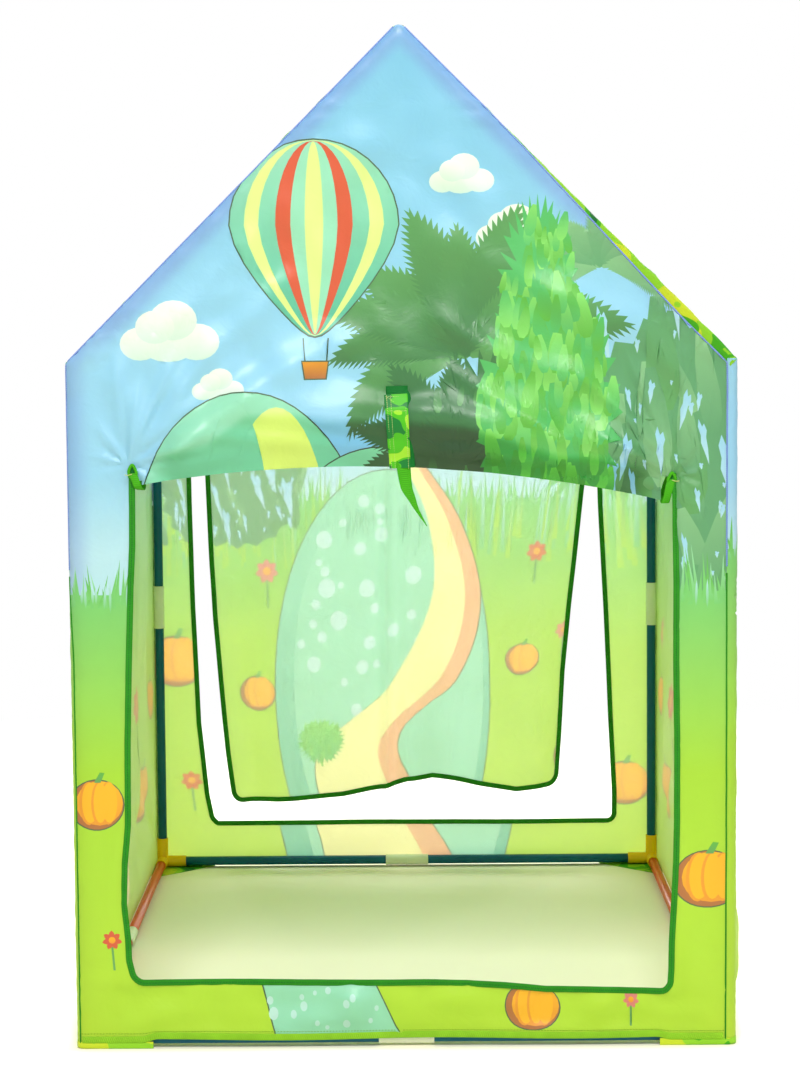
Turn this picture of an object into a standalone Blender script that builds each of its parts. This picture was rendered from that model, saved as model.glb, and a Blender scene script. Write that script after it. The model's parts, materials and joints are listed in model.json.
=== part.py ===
"""Kids' play tent: a push-fit frame of plastic tubes inside a sewn polyester cover with two doors.

Metres, +Z up. The origin is on the ground under the middle of the tent, and the front faces -Y.
The front door is rolled up behind its header and tied. The rear door hangs loose in its doorway.
"""

import math

import bmesh
import bpy
from mathutils import Vector

# The frame, between the centre lines of its tubes
FRAME_WIDTH = 0.672
FRAME_DEPTH = 0.9128
POST_HEIGHT = 0.7034
ROOF_RISE = 0.336

# Tubes, all of one section
TUBE_RADIUS = 0.006
TUBE_WALL = 0.001

# Connectors and couplers
FIT = 0.0003
SOCKET_WALL = 0.0012
KNUCKLE_SWELL = 0.0006
SOCKET_FLOOR = 0.010
RAFTER_SOCKET_FLOOR = 0.0152
SOCKET_DEPTH = 0.022
COUPLER_WALL = 0.0009
COUPLER_LENGTH = 0.058
COUPLER_STOP_WIDTH = 0.003
COUPLER_STOP_HEIGHT = 0.0014
CUT_OVERRUN = 0.004

# The cover
CLOTH = 0.0006
HEM_HEIGHT = 0.006
POCKET_LEG = 0.080

# Doorways, the same in the front and the rear panel
DOOR_STRIP = 0.064
DOOR_LIP = 0.062
DOOR_HEADER = 0.117
DOOR_CORNER_RADIUS = 0.010
BINDING_WIDTH = 0.008
BINDING_THICKNESS = 0.0014

# The front header, drawn up in the middle, sagging to its ends under the rolled door and lower at its right
HEADER_MIDDLE_RISE = 0.0118
HEADER_END_SAG = 0.0252
HEADER_RIGHT_DROP = 0.0104
HEADER_END_GAP = 0.013

# The front door, rolled up inside the header
ROLL_HEIGHT = 0.042
ROLL_DEPTH = 0.030
ROLL_DROP = 0.003
ROLL_END_GAP = 0.017
ROLL_PINCH_WIDTH = 0.030
ROLL_PINCH_SHARE = 0.30
ROLL_POINT_SPACING = 0.022
CURTAIN_RISE = 0.016
CURTAIN_HEIGHT = 0.018

# The side ties, ribbons that straddle the ends of the roll
TIE_WIDTH = 0.009
TIE_THICKNESS = 0.0006
TIE_SIDE_GAP = 0.0006
TIE_LEAN = 0.010
TIE_LEG = 0.022

# The middle strap, sewn on the front panel by its top end
STRAP_WIDTH = 0.023
STRAP_THICKNESS = 0.0010
STRAP_BAND_LENGTH = 0.078
STRAP_TAIL_LENGTH = 0.060
STRAP_TAIL_WIDTH = 0.015
STRAP_TIP_WIDTH = 0.003
STRAP_TAIL_SHIFT = 0.0038
STRAP_TAIL_SWING = 0.0246
STRAP_ABOVE_DOOR = 0.0866
STRAP_LEFT_OF_MIDDLE = 0.0045

# The rear door, hanging
FLAP_SIDE_GAP = 0.006
FLAP_LEFT_DRAW = 0.036
FLAP_RIGHT_DRAW = 0.060
FLAP_LEFT_RISE = 0.024
FLAP_RIGHT_RISE = 0.045
FLAP_HEM_BUMP = 0.024
FLAP_HEM_BUMP_WIDTH = 0.120
FLAP_FOLD_DEPTH = 0.009
FLAP_LEAN = 0.008
FLAP_TAPE_WIDTH = 0.008
FLAP_TAPE_THICKNESS = 0.0014

# Counts and shares
SIDES = 16
ARC_STEPS = 5
HEADER_STEPS = 16
FLAP_COLUMNS = 26
FLAP_ROWS = 13
FLAP_FOLDS = 3
TAIL_SHARES = (0.04, 0.3, 0.6, 0.8, 1.0)

# Places that follow from the sizes above
SOCKET_RADIUS = TUBE_RADIUS + FIT + SOCKET_WALL
KNUCKLE_RADIUS = SOCKET_RADIUS + KNUCKLE_SWELL
COVER_INSIDE = KNUCKLE_RADIUS + FIT
COVER_OUTSIDE = COVER_INSIDE + CLOTH
BASE_Z = CLOTH + FIT + KNUCKLE_RADIUS
EAVE_Z = BASE_Z + POST_HEIGHT
RIDGE_Z = EAVE_Z + ROOF_RISE
HALF_WIDTH = FRAME_WIDTH / 2
HALF_DEPTH = FRAME_DEPTH / 2
ROOF_PITCH = math.atan2(ROOF_RISE, HALF_WIDTH)
EAVE_MITRE = math.tan(math.pi / 4 - ROOF_PITCH / 2)
OUTER_X = HALF_WIDTH + COVER_OUTSIDE
INNER_X = HALF_WIDTH + COVER_INSIDE
OUTER_Y = HALF_DEPTH + COVER_OUTSIDE
INNER_Y = HALF_DEPTH + COVER_INSIDE
DOOR_HALF = OUTER_X - DOOR_STRIP
DOOR_TOP = EAVE_Z - DOOR_HEADER
ROLL_HALF = DOOR_HALF - ROLL_END_GAP
CURTAIN_Y = -INNER_Y + FIT + CLOTH / 2
ROLL_Y = CURTAIN_Y + CLOTH / 2 + FIT + ROLL_DEPTH / 2

COLOURS = {
    "blue_tube": ("#0B6E86", 0.35),
    "orange_tube": ("#E2571B", 0.35),
    "yellow_connector": ("#F0BE12", 0.40),
    "coupler_white": ("#E9EBDD", 0.45),
    "sky_cloth": ("#9BD7EC", 0.65),
    "meadow_cloth": ("#B7E86A", 0.65),
    "leaf_cloth": ("#6FC434", 0.65),
    "tape_green": ("#2E8B1F", 0.60),
}

LEFT_RIGHT = (("left", -1), ("right", 1))
FRONT_REAR = (("front", -1), ("rear", 1))


def clear_scene():
    for thing in list(bpy.data.objects):
        bpy.data.objects.remove(thing, do_unlink=True)


def linear(hex_colour):
    """sRGB hex to the linear colour that a shader takes."""
    channels = [int(hex_colour[i : i + 2], 16) / 255 for i in (1, 3, 5)]
    return [c / 12.92 if c <= 0.04045 else ((c + 0.055) / 1.055) ** 2.4 for c in channels] + [1.0]


def material(name):
    found = bpy.data.materials.get(name)
    if found:
        return found
    hex_colour, roughness = COLOURS[name]
    made = bpy.data.materials.new(name)
    made.use_nodes = True
    shader = made.node_tree.nodes["Principled BSDF"]
    shader.inputs["Base Color"].default_value = linear(hex_colour)
    shader.inputs["Roughness"].default_value = roughness
    shader.inputs["Metallic"].default_value = 0.0
    return made


def collection(name):
    found = bpy.data.collections.get(name)
    if not found:
        found = bpy.data.collections.new(name)
        bpy.context.scene.collection.children.link(found)
    return found


def add_object(name, data, finish):
    made = bpy.data.objects.new(name, data)
    collection("play_tent").objects.link(made)
    data.materials.append(material(finish))
    return made


def mesh_from(name, bm, finish):
    mesh = bpy.data.meshes.new(name)
    bmesh.ops.recalc_face_normals(bm, faces=bm.faces)
    bm.to_mesh(mesh)
    bm.free()
    return add_object(name, mesh, finish)


def baked(obj):
    """The object as one welded mesh, with its curve and modifiers resolved and its place kept."""
    bpy.context.view_layer.update()
    graph = bpy.context.evaluated_depsgraph_get()
    mesh = bpy.data.meshes.new_from_object(obj.evaluated_get(graph))
    bm = bmesh.new()
    bm.from_mesh(mesh)
    bmesh.ops.remove_doubles(bm, verts=bm.verts, dist=TUBE_WALL * 0.001)
    bm.to_mesh(mesh)
    bm.free()
    name, world = obj.name, obj.matrix_world.copy()
    finish = obj.data.materials[0].name
    bpy.data.objects.remove(obj, do_unlink=True)
    mesh.materials.clear()
    made = add_object(name, mesh, finish)
    made.matrix_world = world
    return made


def combined(base, tools, operation):
    """base joined with the tools, or cut by them. The tools are used up."""
    for tool in tools:
        cut = base.modifiers.new(tool.name, "BOOLEAN")
        cut.operation = operation
        cut.object = tool
    made = baked(base)
    for tool in tools:
        bpy.data.objects.remove(tool, do_unlink=True)
    return made


def turned(name, profile, finish):
    """A ring turned about local Z from a closed profile of (radius, height) that runs down its outer side."""
    bm = bmesh.new()
    corners = [bm.verts.new((radius, 0, height)) for radius, height in profile]
    for here, there in zip(corners, corners[1:] + corners[:1]):
        bm.edges.new((here, there))
    mesh = bpy.data.meshes.new(name)
    bm.to_mesh(mesh)
    bm.free()
    ring = add_object(name, mesh, finish)
    screw = ring.modifiers.new("turn", "SCREW")
    screw.axis = "Z"
    screw.steps = screw.render_steps = SIDES
    screw.use_smooth_shade = True
    return ring


def point_along(obj, centre, direction):
    obj.location = centre
    obj.rotation_mode = "QUATERNION"
    obj.rotation_quaternion = direction.to_track_quat("Z", "Y")


def rod(name, radius, start, end):
    """A solid cylinder between two points."""
    axis = end - start
    bm = bmesh.new()
    bmesh.ops.create_cone(
        bm, cap_ends=True, segments=SIDES, radius1=radius, radius2=radius, depth=axis.length
    )
    made = mesh_from(name, bm, "yellow_connector")
    point_along(made, (start + end) / 2, axis)
    return made


def tube(name, start, end, finish):
    half = (end - start).length / 2
    bore = TUBE_RADIUS - TUBE_WALL
    profile = [(TUBE_RADIUS, half), (TUBE_RADIUS, -half), (bore, -half), (bore, half)]
    made = turned(name, profile, finish)
    point_along(made, (start + end) / 2, end - start)


def coupler(name, centre, direction):
    """A straight sleeve with a stop ring inside its middle, which both tube ends meet."""
    half = COUPLER_LENGTH / 2
    bore = TUBE_RADIUS + FIT
    outer = bore + COUPLER_WALL
    stop = bore - COUPLER_STOP_HEIGHT
    stop_half = COUPLER_STOP_WIDTH / 2
    profile = [(outer, half), (outer, -half), (bore, -half), (bore, -stop_half)]
    profile += [(stop, -stop_half), (stop, stop_half), (bore, stop_half), (bore, half)]
    point_along(turned(name, profile, "coupler_white"), centre, direction)


def joined_run(name, ends, start, end, finish):
    """Two equal tubes and their coupler between the centres of two connectors."""
    along = (end - start).normalized()
    middle = (start + end) / 2
    from_centre = SOCKET_FLOOR + FIT
    from_middle = COUPLER_STOP_WIDTH / 2 + FIT
    tube(f"{name}_{ends[0]}", start + along * from_centre, middle - along * from_middle, finish)
    tube(f"{name}_{ends[1]}", middle + along * from_middle, end - along * from_centre, finish)
    coupler(f"{name}_coupler", middle, along)


def connector(name, centre, arms):
    """A moulded knuckle with one socket for each (direction, socket floor)."""
    bm = bmesh.new()
    bmesh.ops.create_uvsphere(bm, u_segments=SIDES, v_segments=SIDES // 2, radius=KNUCKLE_RADIUS)
    knuckle = mesh_from(name, bm, "yellow_connector")
    bodies, bores = [], []
    for number, (direction, floor) in enumerate(arms):
        mouth = direction * (floor + SOCKET_DEPTH)
        past = mouth + direction * CUT_OVERRUN
        bodies.append(rod(f"{name}_arm{number}", SOCKET_RADIUS, -direction * SOCKET_WALL, mouth))
        bores.append(rod(f"{name}_bore{number}", TUBE_RADIUS + FIT, direction * floor, past))
    moulding = combined(combined(knuckle, bodies, "UNION"), bores, "DIFFERENCE")
    moulding.location = centre


def rafter_direction(side):
    """Up a rafter from the eave on that side."""
    return Vector((-side * HALF_WIDTH, 0, ROOF_RISE)).normalized()


def build_frame():
    up = Vector((0, 0, 1))
    for end_name, end in FRONT_REAR:
        inwards = Vector((0, -end, 0))
        y = end * HALF_DEPTH
        ridge = Vector((0, y, RIDGE_Z))
        for side_name, side in LEFT_RIGHT:
            corner = f"{end_name}_{side_name}"
            across = Vector((-side, 0, 0))
            slope = rafter_direction(side)
            base = Vector((side * HALF_WIDTH, y, BASE_Z))
            eave = Vector((side * HALF_WIDTH, y, EAVE_Z))
            joined_run(f"post_{corner}", ("lower", "upper"), base, eave, "blue_tube")
            reach = slope * (RAFTER_SOCKET_FLOOR + FIT)
            tube(f"rafter_{corner}", eave + reach, ridge - reach, "orange_tube")
            floors = [(up, SOCKET_FLOOR), (across, SOCKET_FLOOR), (inwards, SOCKET_FLOOR)]
            connector(f"base_corner_{corner}", base, floors)
            floors = [(-up, SOCKET_FLOOR), (inwards, SOCKET_FLOOR), (slope, RAFTER_SOCKET_FLOOR)]
            connector(f"eave_corner_{corner}", eave, floors)
        left, right = Vector((-HALF_WIDTH, y, BASE_Z)), Vector((HALF_WIDTH, y, BASE_Z))
        joined_run(f"sill_{end_name}", ("left", "right"), left, right, "blue_tube")
        rafters = [(-rafter_direction(side), RAFTER_SOCKET_FLOOR) for _, side in LEFT_RIGHT]
        connector(f"ridge_joint_{end_name}", ridge, rafters + [(inwards, SOCKET_FLOOR)])
    rails = [("base_rail", side_name, side * HALF_WIDTH, BASE_Z) for side_name, side in LEFT_RIGHT]
    rails += [("eave_rail", side_name, side * HALF_WIDTH, EAVE_Z) for side_name, side in LEFT_RIGHT]
    for kind, side_name, x, z in rails:
        front, rear = Vector((x, -HALF_DEPTH, z)), Vector((x, HALF_DEPTH, z))
        joined_run(f"{kind}_{side_name}", ("front", "rear"), front, rear, "orange_tube")
    front, rear = Vector((0, -HALF_DEPTH, RIDGE_Z)), Vector((0, HALF_DEPTH, RIDGE_Z))
    joined_run("ridge_rail", ("front", "rear"), front, rear, "orange_tube")


def arc(centre, radius, start, end):
    """Points of a round corner, from one angle to another in degrees."""
    turns = [math.radians(start + (end - start) * i / ARC_STEPS) for i in range(ARC_STEPS + 1)]
    return [(centre[0] + radius * math.cos(a), centre[1] + radius * math.sin(a)) for a in turns]


def plate(name, loops, thickness, finish, turn, centre):
    """A flat outline with its holes, given thickness by a 2D curve and turned into place."""
    curve = bpy.data.curves.new(name, "CURVE")
    curve.dimensions = "2D"
    curve.fill_mode = "BOTH"
    curve.extrude = thickness / 2
    for loop in loops:
        spline = curve.splines.new("POLY")
        spline.points.add(len(loop) - 1)
        spline.use_cyclic_u = True
        for point, (x, y) in zip(spline.points, loop):
            point.co = (x, y, 0, 1)
    made = add_object(name, curve, finish)
    made.rotation_euler = [math.radians(angle) for angle in turn]
    made.location = centre
    return made


# The ways that a flat outline is turned: standing across the tent, standing along it, lying down
ACROSS, ALONG, FLAT = (90, 0, 0), (90, 0, 90), (0, 0, 0)


def header_height(x):
    """The lower edge of the front header at x, drawn up in the middle and sagging to its ends."""
    share = x / ROLL_HALF
    return DOOR_TOP + HEADER_MIDDLE_RISE - HEADER_RIGHT_DROP * share - HEADER_END_SAG * share**2


def front_header():
    """The front header's edge from right to left, with a notch at each end for the side tie."""
    half = DOOR_HALF - HEADER_END_GAP
    places = [half * (1 - 2 * i / HEADER_STEPS) for i in range(HEADER_STEPS + 1)]
    return [(half, DOOR_TOP)] + [(x, header_height(x)) for x in places] + [(-half, DOOR_TOP)]


def doorway_sides(inset):
    """A doorway's edge down the left side, round both lower corners and up the right side."""
    half, low = DOOR_HALF - inset, DOOR_LIP + inset
    radius = DOOR_CORNER_RADIUS - inset
    left = arc((-half + radius, low + radius), radius, 180, 270)
    right = arc((half - radius, low + radius), radius, 270, 360)
    return [(-half, DOOR_TOP)] + left + right + [(half, DOOR_TOP)]


def door_panel(name, end, header):
    """The gable wall of one end with its doorway, and the bias tape that binds the doorway's edge."""
    eave = EAVE_Z + COVER_OUTSIDE * EAVE_MITRE
    peak = RIDGE_Z + COVER_OUTSIDE / math.cos(ROOF_PITCH)
    gable = [(-OUTER_X, HEM_HEIGHT), (OUTER_X, HEM_HEIGHT), (OUTER_X, eave), (0, peak), (-OUTER_X, eave)]
    middle = Vector((0, end * (INNER_Y + CLOTH / 2), 0))
    panel = baked(plate(name, [gable, doorway_sides(0) + header], CLOTH, "sky_cloth", ACROSS, middle))
    inner, outer = doorway_sides(BINDING_WIDTH / 4), doorway_sides(-BINDING_WIDTH * 3 / 4)
    tape = plate(f"{name}_tape", [inner + outer[::-1]], BINDING_THICKNESS, "sky_cloth", ACROSS, middle)
    return combined(panel, [baked(tape)], "UNION")


def cloth(name, points, faces, thickness, finish):
    """A piece of cloth from its middle surface, with its folds sharp and its edges square."""
    bm = bmesh.new()
    corners = [bm.verts.new(point) for point in points]
    for face in faces:
        bm.faces.new([corners[i] for i in face])
    made = mesh_from(name, bm, finish)
    wall = made.modifiers.new("thickness", "SOLIDIFY")
    wall.thickness = thickness
    wall.offset = 0
    wall.use_even_offset = True
    return made


def side_wall(name, side):
    """One long wall, with the two pockets under its ends that hold the frame's base corners."""
    x = side * (INNER_X + CLOTH / 2)
    pocket_x = side * (OUTER_X - POCKET_LEG)
    corner, pocket_end, inside_end = INNER_Y + CLOTH / 2, OUTER_Y - POCKET_LEG, INNER_Y - FIT
    ground, pocket_top = CLOTH / 2, HEM_HEIGHT - FIT
    top = EAVE_Z + COVER_INSIDE * EAVE_MITRE - FIT
    points, outlines, faces = [], [], []
    for _, end in FRONT_REAR:
        first = len(points)
        points += [(x, end * pocket_end, HEM_HEIGHT), (x, end * pocket_end, ground)]
        points += [(x, end * corner, ground), (x, end * corner, pocket_top)]
        points += [(x, end * inside_end, pocket_top), (x, end * inside_end, top)]
        points += [(pocket_x, end * corner, ground), (pocket_x, end * corner, pocket_top)]
        outlines.append([first + i for i in range(6)])
        faces += [[first + i for i in (2, 6, 7, 3)], [first + i for i in (1, 6, 2)]]
    faces.append(outlines[0] + outlines[1][::-1])
    return cloth(name, points, faces, CLOTH, "meadow_cloth")


def roof_slope(name, side):
    """One slope of the roof, from the eave seam to the ridge seam."""
    rise = math.tan(ROOF_PITCH)
    eave_inside = EAVE_Z + COVER_INSIDE * EAVE_MITRE
    eave_outside = EAVE_Z + COVER_OUTSIDE * EAVE_MITRE
    seam = FIT / 2
    section = [(INNER_X, eave_inside), (OUTER_X, eave_inside), (OUTER_X, eave_outside)]
    section += [(seam, eave_outside + (OUTER_X - seam) * rise)]
    section += [(seam, eave_inside + (INNER_X - seam) * rise)]
    outline = [(side * x, z) for x, z in section]
    return plate(name, [outline], 2 * (INNER_Y - FIT), "leaf_cloth", ACROSS, (0, 0, 0))


def pinched(x):
    """The roll's radius share at x: full, but drawn in under the middle strap and the side ties."""
    share = 1.0
    for tied in (-ROLL_HALF, 0, ROLL_HALF):
        share -= ROLL_PINCH_SHARE * math.exp(-(((x - tied) / ROLL_PINCH_WIDTH) ** 2))
    return share


def front_door_roll():
    """The rolled-up door behind the header, flatter front to back and pinched where it is tied."""
    radius = ROLL_HEIGHT / 2
    middle = header_height(0) - ROLL_DROP + radius
    count = max(8, round(2 * ROLL_HALF / ROLL_POINT_SPACING))
    curve = bpy.data.curves.new("front_door_roll", "CURVE")
    curve.dimensions = "3D"
    curve.bevel_depth = radius
    curve.bevel_resolution = 4
    curve.use_fill_caps = True
    spline = curve.splines.new("POLY")
    spline.points.add(count)
    for i, point in enumerate(spline.points):
        x = ROLL_HALF * (2 * i / count - 1)
        point.radius = pinched(x)
        point.co = (x, 0, header_height(x) - ROLL_DROP + radius * point.radius - middle, 1)
    roll = add_object("front_door_roll", curve, "sky_cloth")
    roll.scale = (1, ROLL_DEPTH / ROLL_HEIGHT, 1)
    roll.location = (0, ROLL_Y, middle)
    return baked(roll)


def front_door_curtain():
    """The top of the front door, from its seam inside the header to the roll that it unwinds from."""
    half, height = ROLL_HALF, CURTAIN_HEIGHT
    outline = [(-half, -height), (half, -height), (half, 0), (-half, 0)]
    seam = (0, CURTAIN_Y, header_height(0) + CURTAIN_RISE)
    return plate("front_door_curtain", [outline], CLOTH, "sky_cloth", ACROSS, seam)


def ribbon(name, stations, thickness, finish):
    """A flat band through stations of (centre, half width)."""
    points, faces = [], []
    for (x, y, z), half in stations:
        points += [(x - half, y, z), (x + half, y, z)]
    for i in range(0, len(points) - 2, 2):
        faces.append([i, i + 1, i + 3, i + 2])
    return cloth(name, points, faces, thickness, finish)


def side_tie(name, side):
    """A ribbon sewn in the doorway's top corner, with one leg in front of the roll's end and one behind it."""
    clear = FIT + TIE_THICKNESS / 2
    front = -(INNER_Y + CLOTH / 2 + BINDING_THICKNESS / 2 + clear)
    back = ROLL_Y + ROLL_DEPTH / 2 + clear
    beside = side * (DOOR_HALF - BINDING_WIDTH / 4 - TIE_SIDE_GAP - TIE_WIDTH / 2)
    leaning = beside - side * TIE_LEAN
    bridge = DOOR_TOP - clear
    foot = bridge - TIE_LEG
    path = [(leaning, front, foot), (beside, front, bridge), (beside, back, bridge), (leaning, back, foot)]
    return ribbon(name, [(place, TIE_WIDTH / 2) for place in path], TIE_THICKNESS, "tape_green")


def middle_strap():
    """The wide strap that hangs from its sewn top end, with a narrowing free tail."""
    stations = [((0, 0, 0), STRAP_WIDTH / 2), ((0, 0, -STRAP_BAND_LENGTH), STRAP_WIDTH / 2)]
    for share in TAIL_SHARES:
        width = STRAP_TAIL_WIDTH + (STRAP_TIP_WIDTH - STRAP_TAIL_WIDTH) * share
        down = STRAP_BAND_LENGTH + STRAP_TAIL_LENGTH * share
        stations.append(((STRAP_TAIL_SHIFT + STRAP_TAIL_SWING * share**2, 0, -down), width / 2))
    strap = ribbon("middle_strap", stations, STRAP_THICKNESS, "leaf_cloth")
    front = -(OUTER_Y + FIT + STRAP_THICKNESS / 2)
    strap.location = (-STRAP_LEFT_OF_MIDDLE, front, DOOR_TOP + STRAP_ABOVE_DOOR)
    return strap


def flap_point(across, down):
    """A point of the hanging rear door from its top edge. Shares run from left to right and down to its hem."""
    half = DOOR_HALF - FLAP_SIDE_GAP
    left = -half + FLAP_LEFT_DRAW * down
    right = half - FLAP_RIGHT_DRAW * down
    x = left + (right - left) * across
    rise = FLAP_LEFT_RISE + (FLAP_RIGHT_RISE - FLAP_LEFT_RISE) * across
    bump = FLAP_HEM_BUMP * math.exp(-((2 * x / FLAP_HEM_BUMP_WIDTH) ** 2))
    drop = DOOR_TOP - FIT - DOOR_LIP - rise - bump
    turns = FLAP_FOLDS * across
    fold = math.sin(math.tau * turns + 0.6) + 0.45 * math.sin(1.65 * math.tau * turns)
    return Vector((x, (FLAP_FOLD_DEPTH * fold - FLAP_LEAN) * down**1.3, -drop * down))


def taped(line, count, length):
    """The share of a length at one line of a grid whose outer cells are as wide as the tape."""
    tape = FLAP_TAPE_WIDTH / length
    if line in (0, count):
        return line / count
    return tape + (1 - 2 * tape) * (line - 1) / (count - 2)


def rear_door_flap():
    """The rear door hangs from its header. Its lower part draws together into folds, and a tape binds its edge."""
    bm = bmesh.new()
    bmesh.ops.create_grid(bm, x_segments=FLAP_COLUMNS, y_segments=FLAP_ROWS, size=1)
    taped_points = []
    for corner in bm.verts:
        column, row = round((corner.co.x + 1) / 2 * FLAP_COLUMNS), round((1 - corner.co.y) / 2 * FLAP_ROWS)
        across = taped(column, FLAP_COLUMNS, 2 * DOOR_HALF)
        down = taped(row, FLAP_ROWS, DOOR_TOP - DOOR_LIP)
        on_side, on_hem = min(column, FLAP_COLUMNS - column) < 2, row > FLAP_ROWS - 2
        if row and (on_side or on_hem):
            taped_points.append(corner.index)
        corner.co = flap_point(across, down)
    flap = mesh_from("rear_door_flap", bm, "meadow_cloth")
    flap.location = (0, INNER_Y + CLOTH / 2, DOOR_TOP - FIT)
    group = flap.vertex_groups.new(name="tape")
    group.add(taped_points, 1.0, "REPLACE")
    wall = flap.modifiers.new("cloth", "SOLIDIFY")
    wall.thickness = FLAP_TAPE_THICKNESS
    wall.offset = 0
    wall.vertex_group = group.name
    wall.thickness_vertex_group = CLOTH / FLAP_TAPE_THICKNESS
    return flap


def build_cover():
    door_panel("front_panel", -1, front_header())
    door_panel("rear_panel", 1, [])
    for side_name, side in LEFT_RIGHT:
        side_wall(f"side_wall_{side_name}", side)
        roof_slope(f"roof_{side_name}", side)
        side_tie(f"tie_{side_name}", side)
    front_door_roll()
    front_door_curtain()
    middle_strap()
    rear_door_flap()


def main():
    clear_scene()
    build_frame()
    build_cover()


main()
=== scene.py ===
"""Kids' play tent, dressed: a printed polyester cover hung over a push-fit frame of plastic tubes.

Each cloth is cut flat with its print, then hung on the frame, which gives every place.
Metres, +Z up, the front faces -Y. Left and right are as seen from the front.
"""

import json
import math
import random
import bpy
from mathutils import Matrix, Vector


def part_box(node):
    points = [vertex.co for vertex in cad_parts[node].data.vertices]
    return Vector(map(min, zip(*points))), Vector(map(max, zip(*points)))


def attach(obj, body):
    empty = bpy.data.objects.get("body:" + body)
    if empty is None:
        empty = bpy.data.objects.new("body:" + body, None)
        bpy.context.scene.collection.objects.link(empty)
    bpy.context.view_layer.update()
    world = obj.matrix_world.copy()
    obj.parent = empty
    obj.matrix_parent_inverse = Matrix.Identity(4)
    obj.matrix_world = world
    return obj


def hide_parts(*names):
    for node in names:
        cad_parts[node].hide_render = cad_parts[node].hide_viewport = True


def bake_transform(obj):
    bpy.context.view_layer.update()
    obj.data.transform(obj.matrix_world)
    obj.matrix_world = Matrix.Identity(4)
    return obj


bl_info = {
    "name": "Kids' Play Tent",
    "version": (1, 0, 0),
    "blender": (4, 5, 0),
    "location": "3D View > Sidebar > Play Tent",
    "description": "Builds the printed cover, the rolled and hanging doors and the tubes of a play tent",
    "category": "Add Mesh",
}

import bpy
import numpy as np
from bpy.props import FloatProperty, FloatVectorProperty, PointerProperty
from bpy.types import Operator, Panel, PropertyGroup
from mathutils import Vector, geometry

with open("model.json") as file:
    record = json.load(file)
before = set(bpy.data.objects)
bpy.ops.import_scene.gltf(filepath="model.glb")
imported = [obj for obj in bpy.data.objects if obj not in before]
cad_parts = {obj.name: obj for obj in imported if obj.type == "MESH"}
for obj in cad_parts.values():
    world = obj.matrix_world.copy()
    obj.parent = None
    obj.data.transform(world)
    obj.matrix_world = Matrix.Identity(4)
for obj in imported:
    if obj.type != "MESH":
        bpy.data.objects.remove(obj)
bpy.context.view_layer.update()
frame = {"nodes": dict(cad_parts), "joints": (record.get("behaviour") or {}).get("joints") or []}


def middle(node):
    low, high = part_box(node)
    return (low + high) / 2


# Places of the tubes' centre lines, read from the frame
POST_X = middle("post_front_right_lower").x
POST_Y = middle("post_rear_right_lower").y
BASE_Z = middle("base_rail_left_front").z
EAVE_Z = middle("eave_rail_left_front").z
RIDGE_Z = middle("ridge_rail_front").z
PITCH = math.atan2(RIDGE_Z - EAVE_Z, POST_X)
TUBE = (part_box("post_front_right_lower")[1].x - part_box("post_front_right_lower")[0].x) / 2
SOCKET_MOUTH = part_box("base_corner_front_left")[1].z - BASE_Z

# The cover. TURN is the radius at which the middle of the cloth turns round a tube.
CLOTH = 0.0006
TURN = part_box("front_panel")[1].x - POST_X - CLOTH / 2
SIDE_X = POST_X + TURN
FRONT_Y = POST_Y + TURN
HEM_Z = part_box("front_panel")[0].z
QUARTER = math.pi / 2

# The doorways
DOOR_TOP = frame["joints"][1]["pos_m"][2] + 0.0003
DOOR_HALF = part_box("rear_door_flap")[1].x + 0.006
DOOR_LIP = 0.062
DOOR_ROUND = 0.008
ROLL_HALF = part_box("front_door_curtain")[1].x
HEADER_LEFT = DOOR_HALF - 0.009
HEADER_RIGHT = DOOR_HALF - 0.013
HEADER_RISE = 0.0118
HEADER_SKEW = 0.0392
HEADER_SAG = 0.0252
ROLL_Y = middle("front_door_roll").y
CURTAIN_LIFT = 0.003
CURTAIN_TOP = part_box("front_door_curtain")[1].z + CURTAIN_LIFT
CURTAIN_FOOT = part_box("front_door_curtain")[0].z + CURTAIN_LIFT
STRAP_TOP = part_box("middle_strap")[1].z

ENDS = (("front", -1), ("rear", 1))
SIDES = (("left", -1), ("right", 1))


def linear(hex_colour):
    """sRGB hex to the linear colour that a shader or an attribute takes."""
    channels = [int(hex_colour[i : i + 2], 16) / 255 for i in (1, 3, 5)]
    return [c / 12.92 if c <= 0.04045 else ((c + 0.055) / 1.055) ** 2.4 for c in channels] + [1.0]


def colour(name, hex_colour, description):
    """A colour that the user can change, from its sRGB hex value."""
    return FloatVectorProperty(
        name=name, description=description, subtype="COLOR", size=4, min=0, max=1, default=linear(hex_colour)
    )


def length(name, metres, description):
    return FloatProperty(name=name, description=description, default=metres, min=0, unit="LENGTH", precision=4)


class PlayTentSizes(PropertyGroup):
    grid: length("Cloth grid", 0.0058, "Spacing of the points in a cut cloth")
    fine_grid: length("Fine grid", 0.0032, "Spacing of the points where a cloth is drawn together")
    slack: length("Slack", 0.0048, "How far a wall bellies between its tubes")
    crumple: length("Crumple", 0.0018, "Height of the smaller creases")
    tie_folds: length("Tie folds", 0.0026, "Height of the folds that spread from the side ties")
    roll_bulge: length("Roll bulge", 0.0170, "How far the header stands proud over the rolled door")
    flap_fold: length("Flap fold", 0.0080, "Depth of the folds in the hanging rear door")
    binding: length("Binding width", 0.0066, "Width of the tape that binds a doorway")
    stitch: length("Stitch", 0.0032, "Distance from stitch to stitch")
    weave: length("Weave", 0.0012, "Thread spacing, drawn three times as coarse as real so that it shows")


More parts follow.
